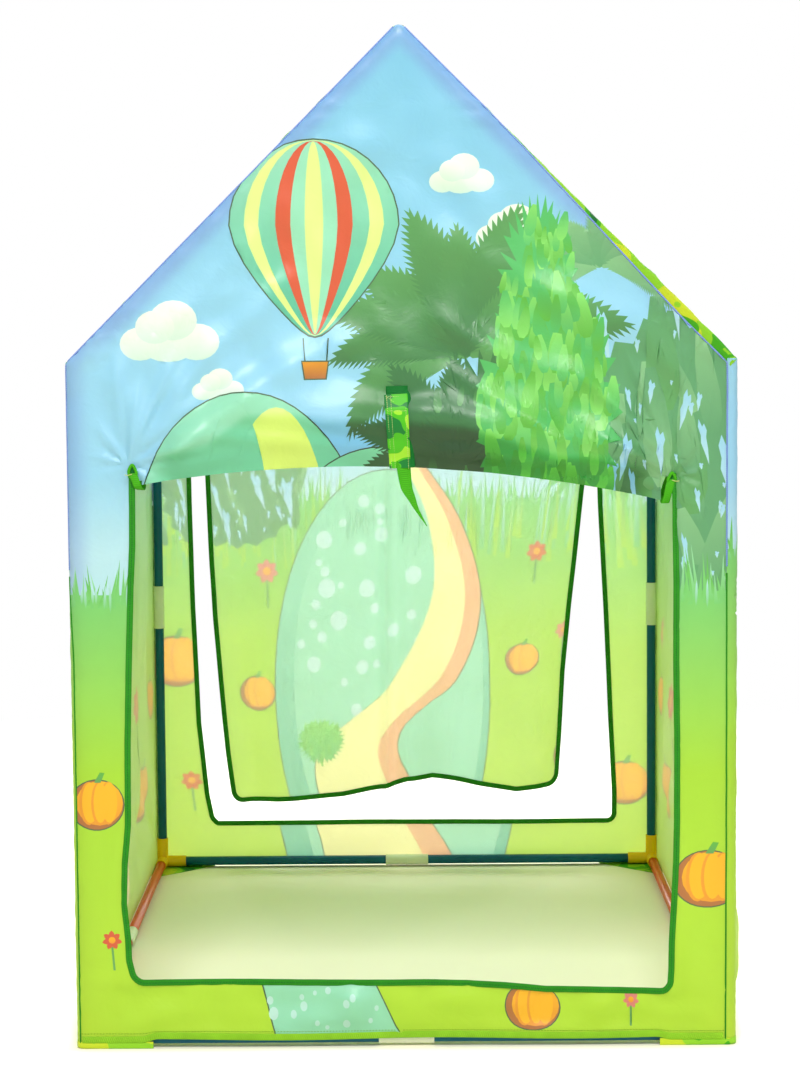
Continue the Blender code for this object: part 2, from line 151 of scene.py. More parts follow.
class PlayTentColours(PropertyGroup):
    sky_high: colour("High sky", "#86CCEA", "Top of the printed sky")
    sky: colour("Sky", "#A4DBF5", "Middle of the printed sky")
    sky_low: colour("Low sky", "#A4DAF2", "Sky above the haze")
    haze: colour("Haze", "#C4E8F3", "Pale sky over the meadow")
    # Violet painted into the sky's edges as shade where the cloth turns round the tubes; it also colours the upper
    # seams' tape
    violet: colour("Edge violet", "#7E9ADC", "Shaded edge of the sky")
    cloud: colour("Cloud", "#FAFDF4", "Cloud")
    cloud_foot: colour("Cloud foot", "#DDF1E6", "Underside of a cloud")
    mint: colour("Mint", "#A4E6C8", "Balloon, hill and stream")
    mint_deep: colour("Deep mint", "#58C3A6", "Shaded mint")
    spring: colour("Pale yellow", "#E9F79C", "Balloon stripe and field")
    coral: colour("Coral", "#E2603A", "Balloon band and flowers")
    rose: colour("Rose", "#E88A86", "Flower petals")
    pine: colour("Pine", "#3C8048", "Darkest leaves")
    fern: colour("Fern", "#66AC62", "Dark leaves")
    leaf: colour("Leaf", "#58C46C", "Middle leaves")
    leaf_light: colour("Light leaf", "#92E272", "Light leaves")
    olive: colour("Olive", "#64A974", "Dull leaves")
    olive_light: colour("Light olive", "#90C890", "Tips of the dull leaves")
    grass: colour("Grass", "#62BE3C", "Grass blades")
    far_grass: colour("Far grass", "#82D478", "Meadow at the horizon")
    haze_green: colour("Hazy green", "#A9E3B8", "Tips of the far blades")
    meadow: colour("Meadow", "#C4E82C", "Near meadow")
    lime: colour("Lime", "#B3E12A", "Middle meadow")
    golden: colour("Golden", "#FFC400", "Pumpkins")
    amber: colour("Amber", "#F2A51C", "Shaded pumpkin")
    brown: colour("Brown", "#BF7637", "Pumpkin shadow")
    outline: colour("Outline", "#4C6A49", "Thin outlines")
    cream: colour("Cream", "#FAF7B4", "Path")
    peach: colour("Peach", "#F6BE90", "Edge of the path")
    dot: colour("Dot", "#CDF0EA", "Dots on the hill and the stream")
    tape: colour("Tape", "#2E921F", "Doorway tape and ties")
    camo_lime: colour("Camouflage lime", "#98D62E", "Roof and strap")
    camo_yellow: colour("Camouflage yellow", "#CEE030", "Roof and strap")
    camo_green: colour("Camouflage green", "#48B216", "Roof and strap")
    camo_dark: colour("Camouflage dark", "#10752C", "Roof and strap")
    blue_tube: colour("Blue tube", "#005A74", "Posts and sills")
    orange_tube: colour("Orange tube", "#E04408", "Rafters and rails")
    connector: colour("Connector", "#FBC200", "Corner mouldings")
    coupler: colour("Coupler", "#E4EAD2", "Sleeves between two tubes")
    floor: colour("Floor", "#FAF4E0", "Studio floor")


def sizes():
    return bpy.context.scene.play_tent_sizes


def tone(name):
    return np.array(getattr(bpy.context.scene.play_tent_colours, name)[:3])


# Waves and folds of cloth


def fade(low, high, value):
    """0 below low, 1 above high and a smooth rise between them."""
    share = np.clip((value - low) / (high - low), 0, 1)
    return share * share * (3 - 2 * share)


def hump(centre, width, value):
    return np.exp(-(((value - centre) / width) ** 2))


def unevenness(across, up, wave, seed, count=6):
    """Soft waves of about one length in mixed directions, between about -1 and 1."""
    rng = np.random.default_rng(seed)
    total = 0
    for _ in range(count):
        turn, start, stretch = rng.uniform(0, math.pi), rng.uniform(0, math.tau), rng.uniform(0.7, 1.4)
        run = across * math.cos(turn) + up * math.sin(turn)
        total = total + np.sin(math.tau * run / (wave * stretch) + start)
    return total / count**0.5


def star_folds(across, up, centre, folds, reach):
    """Folds that spread from a point where cloth is drawn together, highest at the reach."""
    x, z = across - centre[0], up - centre[1]
    away = np.hypot(x, z) / reach
    turn = np.arctan2(z, x)
    return np.sin(folds * turn + 1.7 * np.sin(2 * turn + folds)) * away * np.exp(1 - away)


def tension(across, up, start, end, width):
    """One long crease between two points, which dies away at both ends."""
    start, end = np.array(start), np.array(end)
    along = (end - start) / np.linalg.norm(end - start)
    x, z = across - start[0], up - start[1]
    run = (x * along[0] + z * along[1]) / np.linalg.norm(end - start)
    off = x * along[1] - z * along[0]
    return hump(0, width, off) * fade(-0.1, 0.25, run) * (1 - fade(0.7, 1.15, run))


# Outlines of the cut cloths


def finely(loop, spacing):
    """The closed loop with points added so that none are further apart than spacing."""
    fine = []
    for here, there in zip(loop, loop[1:] + loop[:1]):
        count = max(1, math.ceil(math.dist(here, there) / spacing))
        fine += [tuple(a + (b - a) * i / count for a, b in zip(here, there)) for i in range(count)]
    return fine


def arc(centre, radius, start, end, steps=6):
    turns = [math.radians(start + (end - start) * i / steps) for i in range(steps + 1)]
    return [(centre[0] + radius * math.cos(a), centre[1] + radius * math.sin(a)) for a in turns]


def header_height(x):
    """The lower edge of the front header at x."""
    return DOOR_TOP + HEADER_RISE - HEADER_SKEW * x - HEADER_SAG * (x / ROLL_HALF) ** 2


def doorway_edge(outset):
    """A doorway's left side, rounded lower corners and right side, from top to top."""
    half, low, bend = DOOR_HALF + outset, DOOR_LIP - outset, DOOR_ROUND + outset
    left = arc((-half + bend, low + bend), bend, 180, 270)
    right = arc((half - bend, low + bend), bend, 270, 360)
    return [(-half, DOOR_TOP)] + left + right + [(half, DOOR_TOP)]


def front_doorway():
    """The front doorway's hole, closed by the header's sagging edge with a notch at each end for a tie."""
    count = 40
    places = [HEADER_RIGHT - (HEADER_LEFT + HEADER_RIGHT) * i / count for i in range(count + 1)]
    header = [(HEADER_RIGHT, DOOR_TOP)] + [(x, header_height(x)) for x in places] + [(-HEADER_LEFT, DOOR_TOP)]
    return doorway_edge(0) + header


def front_seam_turn(side, z):
    """How far the front cloth turns round the tube at its edge, in radians. Below 0 it stops short of it."""
    if side < 0:
        return 1.12 - 0.55 * float(1 - fade(0.40, 0.50, z))
    return float(np.interp(z, (0.76, 0.82, 0.88, 0.93, 0.97), (-0.30, 0.10, 0.50, 0.85, 1.12)))


def rear_seam_turn(side, z):
    return 1.05


def gable_edge(side, seam_turn):
    """One cut edge of a gable cloth, up the post and up the rafter to the ridge."""
    steps, edge = 60, []
    for i in range(steps):
        z = HEM_Z + (EAVE_Z - HEM_Z) * i / steps
        edge.append((side * (POST_X + TURN * seam_turn(side, z)), z))
    reach = TURN * seam_turn(side, EAVE_Z)
    if reach < 0:
        edge.append((side * (POST_X + reach), EAVE_Z + reach * math.tan(PITCH / 2)))
    else:
        bend = [math.radians(90) - PITCH * (2 - i) / 2 - (math.radians(90) - PITCH) for i in range(3)]
        edge += [(side * (POST_X + reach * math.cos(a)), EAVE_Z + reach * math.sin(a)) for a in bend]
    for i in range(1, steps + 1):
        x, z = POST_X * (1 - i / steps), EAVE_Z + (RIDGE_Z - EAVE_Z) * i / steps
        reach = TURN * seam_turn(side, z)
        edge.append((side * (x + math.sin(PITCH) * reach), z + math.cos(PITCH) * reach))
    return edge


def gable_outline(seam_turn):
    right, left = gable_edge(1, seam_turn), gable_edge(-1, seam_turn)
    top = TURN * seam_turn(1, RIDGE_Z)
    apex = [(top * math.sin(a), RIDGE_Z + top * math.cos(a)) for a in (PITCH / 2, 0, -PITCH / 2)]
    return right + apex + left[::-1]


# Flat prints. A motif is (closed loop, low colour, high colour).


def blob(x, z, across, up, count=20, jag=0.0, rng=None):
    """An oval. jag draws every other point in, by up to that share, for a leafy edge."""
    loop = []
    for i in range(count):
        turn = math.tau * i / count
        share = 1 - (jag * rng.uniform(0.4, 1.0) if jag and i % 2 else 0)
        loop.append((x + across * share * math.cos(turn), z + up * share * math.sin(turn)))
    return loop


# Outlines as shares of a width and a height: a pointed leaf, a rounded brush dab and a ragged gap between leaves
LEAF_SHARES = ((0, 0), (0.4, 0.22), (0.5, 0.5), (0.34, 0.8), (0, 1), (-0.34, 0.8), (-0.5, 0.5), (-0.4, 0.22))
DAB_SHARES = ((-0.2, 0.01), (0.2, 0.01), (0.44, 0.16), (0.5, 0.38), (0.38, 0.7), (0.16, 0.97), (-0.16, 0.97),
              (-0.38, 0.7), (-0.5, 0.38), (-0.44, 0.16))
GAP_SHARES = ((0, 0), (0.3, 0.34), (0.36, 0.6), (0.6, 0.74), (0.42, 0.9), (0.1, 0.84), (-0.15, 1.02),
              (-0.42, 0.86), (-0.3, 0.66), (-0.44, 0.5), (-0.22, 0.3))


def leaf(x, z, high, wide, lean, shares=LEAF_SHARES):
    """A leaf that stands on a point and leans by an angle from upright."""
    cos, sin = math.cos(lean), math.sin(lean)
    spots = [(a * wide, b * high) for a, b in shares]
    return [(x + a * cos + b * sin, z - a * sin + b * cos) for a, b in spots]


def blade(x, z, high, wide, lean):
    return [(x - wide / 2, z), (x + wide / 2, z), (x + wide * 0.2 + lean * 0.6, z + high * 0.6), (x + lean, z + high)]


def outlined(x, z, across, up, low, high, line=0.0013, count=30):
    return [
        (blob(x, z, across + line, up + line, count), "outline", "outline"),
        (blob(x, z, across, up, count), low, high),
    ]


CLOUD_SHARES = ((-0.85, -0.2, 0.62, 0.5), (0.85, -0.15, 0.7, 0.55), (0.15, 0.5, 0.72, 0.6), (-0.4, 0.3, 0.6, 0.5))


def cloud(x, z, size):
    lobes = ((0, 0, 1, 0.75),) + CLOUD_SHARES
    return [(blob(x + size * a, z + size * b, size * c, size * d), "cloud_foot", "cloud") for a, b, c, d in lobes]


def envelope(x, z, across, up):
    """The outline of a hot-air balloon: a round top drawn in to a narrow mouth."""
    loop = []
    for i in range(36):
        a, b = math.cos(math.tau * i / 36), math.sin(math.tau * i / 36)
        if b < 0:
            a, b = a * (1 - 0.55 * (-b) ** 1.4), b * 1.32
        loop.append((x + across * a, z + up * b))
    return loop


GORE_SHARES = ((1.0, "mint_deep", "mint"), (0.83, "spring", "spring"), (0.66, "mint_deep", "mint"),
               (0.46, "coral", "coral"), (0.28, "mint", "mint"), (0.11, "spring", "spring"))


def balloon(x, z, size):
    art = [(envelope(x, z, size + 0.0014, size + 0.0014), "outline", "outline")]
    for number, (share, low, high) in enumerate(GORE_SHARES):
        art.append((envelope(x, z, size * share, size * (1 - 0.004 * number)), low, high))
    mouth, basket, half = z - size * 1.34, z - size * 1.62, size * 0.15
    for side in (-1, 1):
        foot = x + side * half * 0.85
        art.append(([(foot, basket), (foot + 0.0014, basket), (x + side * half + 0.0014, mouth),
                     (x + side * half, mouth)], "outline", "outline"))
    for grow, low in ((0.0013, "outline"), (0, "brown")):
        art.append(([(x - half * 0.8 - grow, basket - size * 0.2 - grow), (x + half * 0.8 + grow, basket - size * 0.2 - grow),
                     (x + half + grow, basket + grow), (x - half - grow, basket + grow)], low, low if grow else "amber"))
    return art


def tree(rng, x, z, across, up, tones, dabs=0, dab=0.02, jag=0.3):
    """A leafy crown with loose dabs of the lighter tones over it."""
    art = [(blob(x, z, across, up, 64, jag, rng), tones[0], tones[1])]
    for _ in range(dabs):
        turn, away = rng.uniform(0, math.tau), math.sqrt(rng.uniform(0, 0.86))
        a, b = x + across * away * math.cos(turn), z + up * away * math.sin(turn)
        high = dab * rng.uniform(0.7, 1.35)
        low, top = rng.sample(tones[1:], 2) if len(tones) > 2 else (tones[1], tones[1])
        wide, lean = high * rng.uniform(0.26, 0.40), rng.uniform(-0.22, 0.22)
        art.append((leaf(a, b - high / 2, high, wide, lean, DAB_SHARES), low, top))
    return art


def frond_crown(rng, x, z, reach, low, high, fronds=9):
    """Broad arching leaves that fan out from one point, with a toothed edge."""
    art = []
    for i in range(fronds):
        lean = math.pi * (1.25 * (i + 0.5) / fronds - 0.625) + rng.uniform(-0.1, 0.1)
        long = reach * rng.uniform(0.8, 1.15)
        teeth, edge = 26, []
        for side in (1, -1):
            rows = range(teeth) if side > 0 else range(teeth - 1, -1, -1)
            for row in rows:
                share = (row + 0.5) / teeth
                wide = long * 0.2 * math.sin(math.pi * min(1, share * 1.05)) ** 0.7
                inner, outer = (share, wide * 0.76), (share + 0.07, wide)
                edge += [(side * w, s * long) for s, w in ((inner, outer) if side > 0 else (outer, inner))]
        edge.append((0, 0))
        spots = []
        for a, b in edge:
            turn = lean * (0.75 + 0.45 * b / long)
            spots.append((x + a * math.cos(turn) + b * math.sin(turn), z - a * math.sin(turn) + b * math.cos(turn)))
        art.append((spots, low, high))
    return art


def drooping_leaves(rng, x, z, across, up):
    """A stand of long drooping leaves with ragged gaps of sky between them."""
    art = [(blob(x + across * 0.12, z, across * 1.05, up * 0.92, 40, 0.12, rng), "olive", "olive")]
    for _ in range(40):
        a, b = x + across * rng.uniform(-0.9, 1.1), z + up * rng.uniform(-1.0, 0.45)
        high, lean = up * rng.uniform(0.35, 0.75), rng.uniform(-0.45, 0.45)
        low, top = rng.choice((("olive", "olive_light"), ("olive", "olive"), ("olive_light", "olive"), ("fern", "olive")))
        art.append((leaf(a, b, high, high * rng.uniform(0.18, 0.32), lean, DAB_SHARES), low, top))
    for _ in range(60):
        a, b = x + across * rng.uniform(-0.75, 1.05), z + up * rng.uniform(-0.95, 0.8)
        high = rng.choice((0.008, 0.014, 0.022, 0.036, 0.06)) * rng.uniform(0.7, 1.2)
        wide, lean = 0.0026 + high * rng.uniform(0.06, 0.22), rng.uniform(-0.35, 0.2)
        art.append((leaf(a, b, high, wide, lean, GAP_SHARES), "haze", "sky_low"))
    return art


def pumpkin(x, z, size):
    """A golden pumpkin with ribs, a brown shaded side and a stalk."""
    art = outlined(x, z, size, size * 0.86, "brown", "brown")
    art.append((blob(x + size * 0.10, z + size * 0.06, size * 0.88, size * 0.78), "amber", "golden"))
    for off, wide in ((0.42, 0.34), (-0.30, 0.36), (0.08, 0.30)):
        art.append((blob(x + size * off, z + size * 0.06, size * wide, size * 0.76), "amber", "amber"))
        art.append((blob(x + size * (off + 0.05), z + size * 0.08, size * wide * 0.86, size * 0.71), "golden", "golden"))
    top = z + size * 0.78
    art.append(([(x - size * 0.1, top), (x + size * 0.14, top), (x + size * 0.3, top + size * 0.34),
                 (x + size * 0.12, top + size * 0.36)], "fern", "grass"))
    return art


def flower(x, z, size, petals="coral"):
    art = [([(x - 0.0012, z - size * 3), (x + 0.0012, z - size * 3), (x + 0.0012, z), (x - 0.0012, z)], "fern", "fern")]
    for i in range(7):
        art.append((leaf(x, z, size, size * 0.62, math.tau * i / 7), petals, petals))
    art.append((blob(x, z, size * 0.34, size * 0.34, 12), "amber", "golden"))
    return art


def winding(places, low, high, line=0.0015):
    """A winding band through (x, z, half width) places, such as a path or a stream, with a thin outline."""
    art = []
    for grow, pair_of in ((line, ("outline", "outline")), (0, (low, high))):
        spine = curve_through(places, 8)
        edges = [(x - h - grow, z) for x, z, h in spine] + [(x + h + grow, z) for x, z, h in spine[::-1]]
        art += [(edges, *pair_of)]
    return art


def dots(rng, count, x, z, across, up, size):
    """Round dots strewn over an oval, none over another."""
    placed = []
    for _ in range(count):
        turn, away = rng.uniform(0, math.tau), math.sqrt(rng.uniform(0, 0.8))
        r = size * rng.uniform(0.45, 1.25)
        a, b = x + across * away * math.cos(turn), z + up * away * math.sin(turn)
        if all(math.hypot(a - c, b - d) > 1.1 * (r + other) for c, d, other in placed):
            placed.append((a, b, r))
    return [(blob(a, b, r, r * 1.1, 14), "dot", "dot") for a, b, r in placed]


def meadow(rng, left, right, horizon, foot, tall=0):
    """Ground that turns from mown grass at its horizon to lime, with blades, pale gaps and some tall pale strokes."""
    art = [([(left, foot), (right, foot), (right, horizon), (left, horizon)], "ground", "ground")]
    count = round((right - left) / 0.0024)
    for i in range(count):
        x = left + (right - left) * (i + rng.random()) / count
        z, high = horizon - rng.uniform(0.002, 0.014), rng.uniform(0.016, 0.054) * rng.choice((0.6, 1, 1))
        kinds = rng.choice((("far_grass", "grass"), ("far_grass", "far_grass"), ("far_grass", "haze_green")))
        art.append((blade(x, z, high, rng.uniform(0.003, 0.006), rng.uniform(-0.008, 0.008)), *kinds))
    for i in range(count // 6):
        x = rng.uniform(left, right)
        high = rng.uniform(0.012, 0.034)
        art.append((leaf(x, horizon - high * 0.6, high, 0.0026, rng.uniform(-0.06, 0.06)), "far_grass", "haze"))
    for _ in range(tall):
        x, z = rng.uniform(left, right), horizon - rng.uniform(0.04, 0.10)
        pair_of = rng.choice((("lime", "haze_green"), ("far_grass", "haze"), ("lime", "olive_light"), ("lime", "far_grass")))
        art.append((blade(x, z, rng.uniform(0.06, 0.14), rng.uniform(0.003, 0.009), rng.uniform(-0.007, 0.007)), *pair_of))
    return art


def front_art():
    """The picture on the front gable and, below the header, on the front door."""
    rng = random.Random(11)
    art = cloud(-0.238, 0.742, 0.034) + cloud(0.062, 0.902, 0.022) + cloud(0.115, 0.846, 0.026)
    art += cloud(-0.188, 0.690, 0.018)
    art += outlined(-0.160, 0.500, 0.125, 0.185, "mint_deep", "mint", count=60)
    art += [(blob(-0.128, 0.520, 0.052, 0.150, 44), "spring", "spring"), (blob(-0.170, 0.500, 0.036, 0.176, 44), "mint_deep", "mint")]
    art += outlined(-0.020, 0.500, 0.110, 0.128, "mint_deep", "mint", count=60)
    art += [(blob(-0.010, 0.490, 0.060, 0.118, 44), "spring", "mint")]
    art += frond_crown(rng, 0.070, 0.720, 0.150, "pine", "fern", 11)
    art += frond_crown(rng, 0.055, 0.600, 0.120, "pine", "pine", 9)
    art += drooping_leaves(rng, 0.268, 0.600, 0.100, 0.180)
    art += frond_crown(rng, 0.205, 0.810, 0.075, "olive", "olive_light", 7)
    art += tree(rng, 0.095, 0.620, 0.080, 0.110, ["pine", "pine", "fern"], 20, 0.020, 0.4)
    art += tree(rng, 0.140, 0.790, 0.042, 0.095, ["leaf", "leaf", "leaf_light", "grass"], 70, 0.026, 0.42)
    art += tree(rng, 0.150, 0.662, 0.076, 0.145, ["leaf", "leaf", "leaf_light", "grass"], 210, 0.036, 0.30)
    art += balloon(-0.088, 0.855, 0.086)
    art += meadow(rng, -0.37, 0.37, 0.477, -0.02)
    art += winding(((-0.06, 0.46, 0.0065), (-0.12, 0.36, 0.0185), (-0.04, 0.26, 0.0335), (-0.11, 0.14, 0.0485),
                    (-0.06, -0.02, 0.0685)), "mint", "mint")
    art += dots(rng, 16, -0.09, 0.036, 0.07, 0.022, 0.0042) + dots(rng, 22, -0.08, 0.19, 0.03, 0.09, 0.0045)
    art += flower(0.04, 0.33, 0.020) + flower(0.13, 0.22, 0.024, "rose") + flower(-0.20, 0.22, 0.020)
    art += pumpkin(-0.318, 0.258, 0.030) + pumpkin(0.316, 0.176, 0.034) + pumpkin(0.132, 0.040, 0.028)
    art += pumpkin(0.10, 0.15, 0.034) + flower(-0.302, 0.110, 0.012) + flower(0.236, 0.050, 0.010, "rose")
    return art


def rear_art():
    """The picture on the rear gable and the rear door, placed as it looks from the front."""
    rng = random.Random(23)
    art = cloud(-0.10, 0.86, 0.036) + cloud(0.12, 0.78, 0.034) + cloud(-0.24, 0.70, 0.022)
    art += tree(rng, 0.28, 0.58, 0.085, 0.100, ["leaf", "leaf_light", "grass"], 50, 0.024, 0.34)
    art += balloon(0.03, 0.92, 0.05)
    art += meadow(rng, -0.37, 0.37, 0.500, -0.02, 150)
    art += drooping_leaves(rng, -0.245, 0.520, 0.095, 0.095)
    art += outlined(-0.015, 0.190, 0.172, 0.352, "mint_deep", "mint", count=60)
    art += [(blob(-0.005, 0.205, 0.152, 0.325, 60), "mint", "mint")]
    art += dots(rng, 48, -0.05, 0.32, 0.11, 0.20, 0.0105)
    art += winding(((0.020, 0.560, 0.012), (0.078, 0.46, 0.022), (0.100, 0.34, 0.036), (0.050, 0.22, 0.052),
                    (-0.060, 0.130, 0.066), (-0.02, 0.0, 0.09)), "peach", "peach")
    art += winding(((0.014, 0.560, 0.007), (0.066, 0.46, 0.015), (0.086, 0.34, 0.026), (0.036, 0.22, 0.040),
                    (-0.076, 0.130, 0.050), (-0.04, 0.0, 0.070)), "cream", "cream", 0)
    art += pumpkin(-0.312, 0.285, 0.040) + pumpkin(0.300, 0.112, 0.034) + pumpkin(-0.215, 0.225, 0.028)
    art += pumpkin(0.206, 0.262, 0.026) + flower(-0.19, 0.40, 0.018, "rose") + flower(0.215, 0.42, 0.016)
    art += flower(0.268, 0.30, 0.014, "rose") + flower(-0.30, 0.12, 0.014)
    art += tree(rng, -0.118, 0.150, 0.040, 0.034, ["leaf", "leaf_light", "grass"], 16, 0.014)
    return art


def wall_art(side):
    """The picture on a side wall, from the front end to the rear end."""
    rng = random.Random(37 + side)
    art = cloud(-0.26, 0.615, 0.038) + cloud(0.10, 0.640, 0.030) + cloud(0.34, 0.590, 0.040)
    art += outlined(0.16 * side, 0.380, 0.210, 0.170, "mint_deep", "mint", count=48)
    art += [(blob(0.19 * side, 0.365, 0.150, 0.140, 40), "mint", "spring")]
    art += frond_crown(rng, -0.33 * side, 0.520, 0.130, "fern", "olive", 11)
    art += tree(rng, -0.38 * side, 0.470, 0.085, 0.085, ["pine", "fern", "olive"], 40, 0.024, 0.36)
    art += tree(rng, -0.17 * side, 0.500, 0.070, 0.140, ["leaf", "leaf", "leaf_light", "grass"], 130, 0.026, 0.32)
    art += tree(rng, 0.36 * side, 0.480, 0.095, 0.100, ["fern", "leaf", "leaf_light"], 80, 0.026, 0.32)
    art += balloon(0.0, 0.60, 0.045)
    art += meadow(rng, -0.50, 0.50, 0.520, -0.02)
    art += winding(((0.19 * side, 0.385, 0.009), (0.10 * side, 0.30, 0.022), (0.16 * side, 0.20, 0.036),
                    (0.04 * side, 0.10, 0.054), (0.06 * side, 0.0, 0.075)), "cream", "peach")
    for spot, height, size in ((-0.38, 0.17, 0.044), (-0.22, 0.08, 0.034), (0.30, 0.13, 0.042), (0.41, 0.24, 0.030)):
        art += pumpkin(spot, height, size)
    for spot, height, size, petals in (
        (-0.30, 0.300, 0.030, "coral"), (-0.12, 0.200, 0.026, "rose"), (-0.42, 0.330, 0.022, "rose"),
        (0.22, 0.260, 0.026, "coral"), (0.37, 0.330, 0.024, "rose"), (0.02, 0.290, 0.018, "coral"),
    ):
        art += flower(spot, height, size, petals)
    return art


SKY_STOPS = ((0.46, "haze"), (0.52, "haze"), (0.60, "sky_low"), (0.72, "sky"), (1.06, "sky_high"))
WALL_STOPS = ((0.44, "haze"), (0.52, "haze"), (0.60, "sky_low"), (0.72, "sky"))


def cut_cloth(outline, holes=(), art=(), stops=((0, "sky"), (1, "sky")), spacing=None, fine=(), edge_painted_shade=None, depth=None):
    """A flat cloth: its points, its triangles and a colour for each triangle's corners, last motif on top.

    spacing is the grid's, across and up. fine lists boxes (x, z, x, z, spacing) that get closer points.
    edge_tint says how far the corners turn to violet, and depth how much deeper the ink is laid.
    """
    loops = [list(outline), *[list(hole) for hole in holes], *[list(motif[0]) for motif in art]]
    places, rings = [], []
    for loop in loops:
        area = sum(a[0] * b[1] - b[0] * a[1] for a, b in zip(loop, loop[1:] + loop[:1]))
        ring = list(range(len(places), len(places) + len(loop)))
        places += [Vector(point) for point in loop]
        rings.append(ring if area > 0 else ring[::-1])
    across, up = zip(*outline)
    step = spacing or (sizes().grid, sizes().grid)
    for x0, z0, x1, z1, *own in ((min(across), min(up), max(across), max(up)), *fine):
        step_x, step_z = (own[0], own[0]) if own else step
        rows, columns = int((z1 - z0) / step_z), int((x1 - x0) / step_x)
        jitter = np.random.default_rng(rows).uniform(-0.16, 0.16, (rows, columns, 2))
        for row in range(rows):
            for column in range(columns):
                shift = (0.25 if row % 2 else 0.75) + jitter[row, column, 0]
                places.append(Vector((x0 + (shift + column) * step_x, z0 + (row + 0.5 + jitter[row, column, 1]) * step_z)))
    points, _, faces, _, _, sources = geometry.delaunay_2d_cdt(places, [], rings, 0, 1e-6, True)
    first = 1 + len(holes)
    spans = [(min(x for x, _ in loop), max(x for x, _ in loop), min(z for _, z in loop), max(z for _, z in loop))
             for loop in loops]
    triangles, tops = [], []
    for face, source in zip(faces, sources):
        if 0 in source and not any(0 < number < first for number in source):
            x, z = (points[face[0]] + points[face[1]] + points[face[2]]) / 3
            inside = [n for n in source if spans[n][0] <= x <= spans[n][1] and spans[n][2] <= z <= spans[n][3]]
            triangles.append(face)
            tops.append(max(inside, default=0) - first)
    triangles, tops = np.array(triangles), np.array(tops)
    used, back = np.unique(triangles, return_inverse=True)
    points = np.array([tuple(point) for point in points])[used]
    triangles = back.reshape(-1, 3)
    heights = points[triangles][..., 1]
    rgb = np.array([tone(name) for _, name in stops])
    print_colours = np.stack([np.interp(heights, [z for z, _ in stops], rgb[:, c]) for c in range(3)], -1)
    # Violet painted in as shade where the cloth turns round the tubes
    if edge_painted_shade:
        share = edge_painted_shade(points[triangles][..., 0], heights)[..., None]
        print_colours = print_colours * (1 - share) + tone("violet") * share
    if art:
        feet = np.array([min(z for _, z in motif[0]) for motif in art])[tops][:, None]
        heads = np.array([max(z for _, z in motif[0]) for motif in art])[tops][:, None]
        lows, highs = (np.array([tone("lime" if motif[i] == "ground" else motif[i]) for motif in art])[tops][:, None]
                       for i in (1, 2))
        share = np.clip((heights - feet) / (heads - feet), 0, 1)
        drawn = lows + (highs - lows) * share[..., None]
        rgb = np.array([tone(name) for name in ("meadow", "lime", "far_grass")])
        ground = np.stack([np.interp(share, (0.0, 0.62, 1.0), rgb[:, c]) for c in range(3)], -1)
        on_ground = np.array([motif[1] == "ground" for motif in art])[tops]
        drawn = np.where(on_ground[:, None, None], ground, drawn)
        print_colours = np.where((tops >= 0)[:, None, None], drawn, print_colours)
    # depth darkens and deepens the ink: painted shade, such as the header's band over the roll
    if depth:
        print_colours = print_colours ** (1 + depth(points[triangles][..., 0], heights)[..., None])
    return points, triangles, print_colours


# Hanging the cut cloths


def select_only(piece):
    bpy.ops.object.select_all(action="DESELECT")
    piece.select_set(True)
    bpy.context.view_layer.objects.active = piece


def add_mesh(name, spots, faces, finish):
    mesh = bpy.data.meshes.new(name)
    mesh.from_pydata(np.asarray(spots).tolist(), [], [list(map(int, face)) for face in faces])
    piece = bpy.data.objects.new(name, mesh)
    bpy.context.scene.collection.objects.link(piece)
    for one in finish:
        mesh.materials.append(one)
    return piece


def thicken(piece, thickness, inner=1):
    """Gives a sheet its thickness about its middle, the inner side in the next material, and smooth shading."""
    select_only(piece)
    wall = piece.modifiers.new("cloth", "SOLIDIFY")
    wall.thickness = thickness
    wall.offset = 0
    wall.material_offset = inner
    bpy.ops.object.modifier_apply(modifier=wall.name)
    bpy.ops.object.shade_smooth_by_angle(angle=math.radians(50))


def hang(name, cut, place, outward, finish, thickness=CLOTH):
    """The cut cloth where place puts it, with its print as an attribute and its flat cut as a UV map."""
    points, triangles, rgb = cut
    spots = place(points[:, 0], points[:, 1])
    corners = spots[triangles]
    normals = np.cross(corners[:, 1] - corners[:, 0], corners[:, 2] - corners[:, 0])
    towards = np.broadcast_to(np.asarray(outward, float), spots.shape)[triangles[:, 0]]
    if (normals * towards).sum() < 0:
        triangles, rgb = triangles[:, ::-1], rgb[:, ::-1]
    piece = add_mesh(name, spots, triangles, finish)
    layer = piece.data.color_attributes.new("print", "FLOAT_COLOR", "CORNER")
    layer.data.foreach_set("color", np.concatenate([rgb, np.ones(rgb.shape[:2] + (1,))], -1).astype(np.float32).ravel())
    cut_map = piece.data.uv_layers.new(name="cut")
    cut_map.data.foreach_set("uv", points[triangles].astype(np.float32).ravel())
    thicken(piece, thickness)
    return piece


def tube_lines():
    """The centre lines of a gable's posts and rafters, as pairs of (x, z) ends."""
    for side in (-1, 1):
        yield np.array((side * POST_X, BASE_Z - POST_X)), np.array((side * POST_X, EAVE_Z))
        yield np.array((side * POST_X, EAVE_Z)), np.array((0, RIDGE_Z))


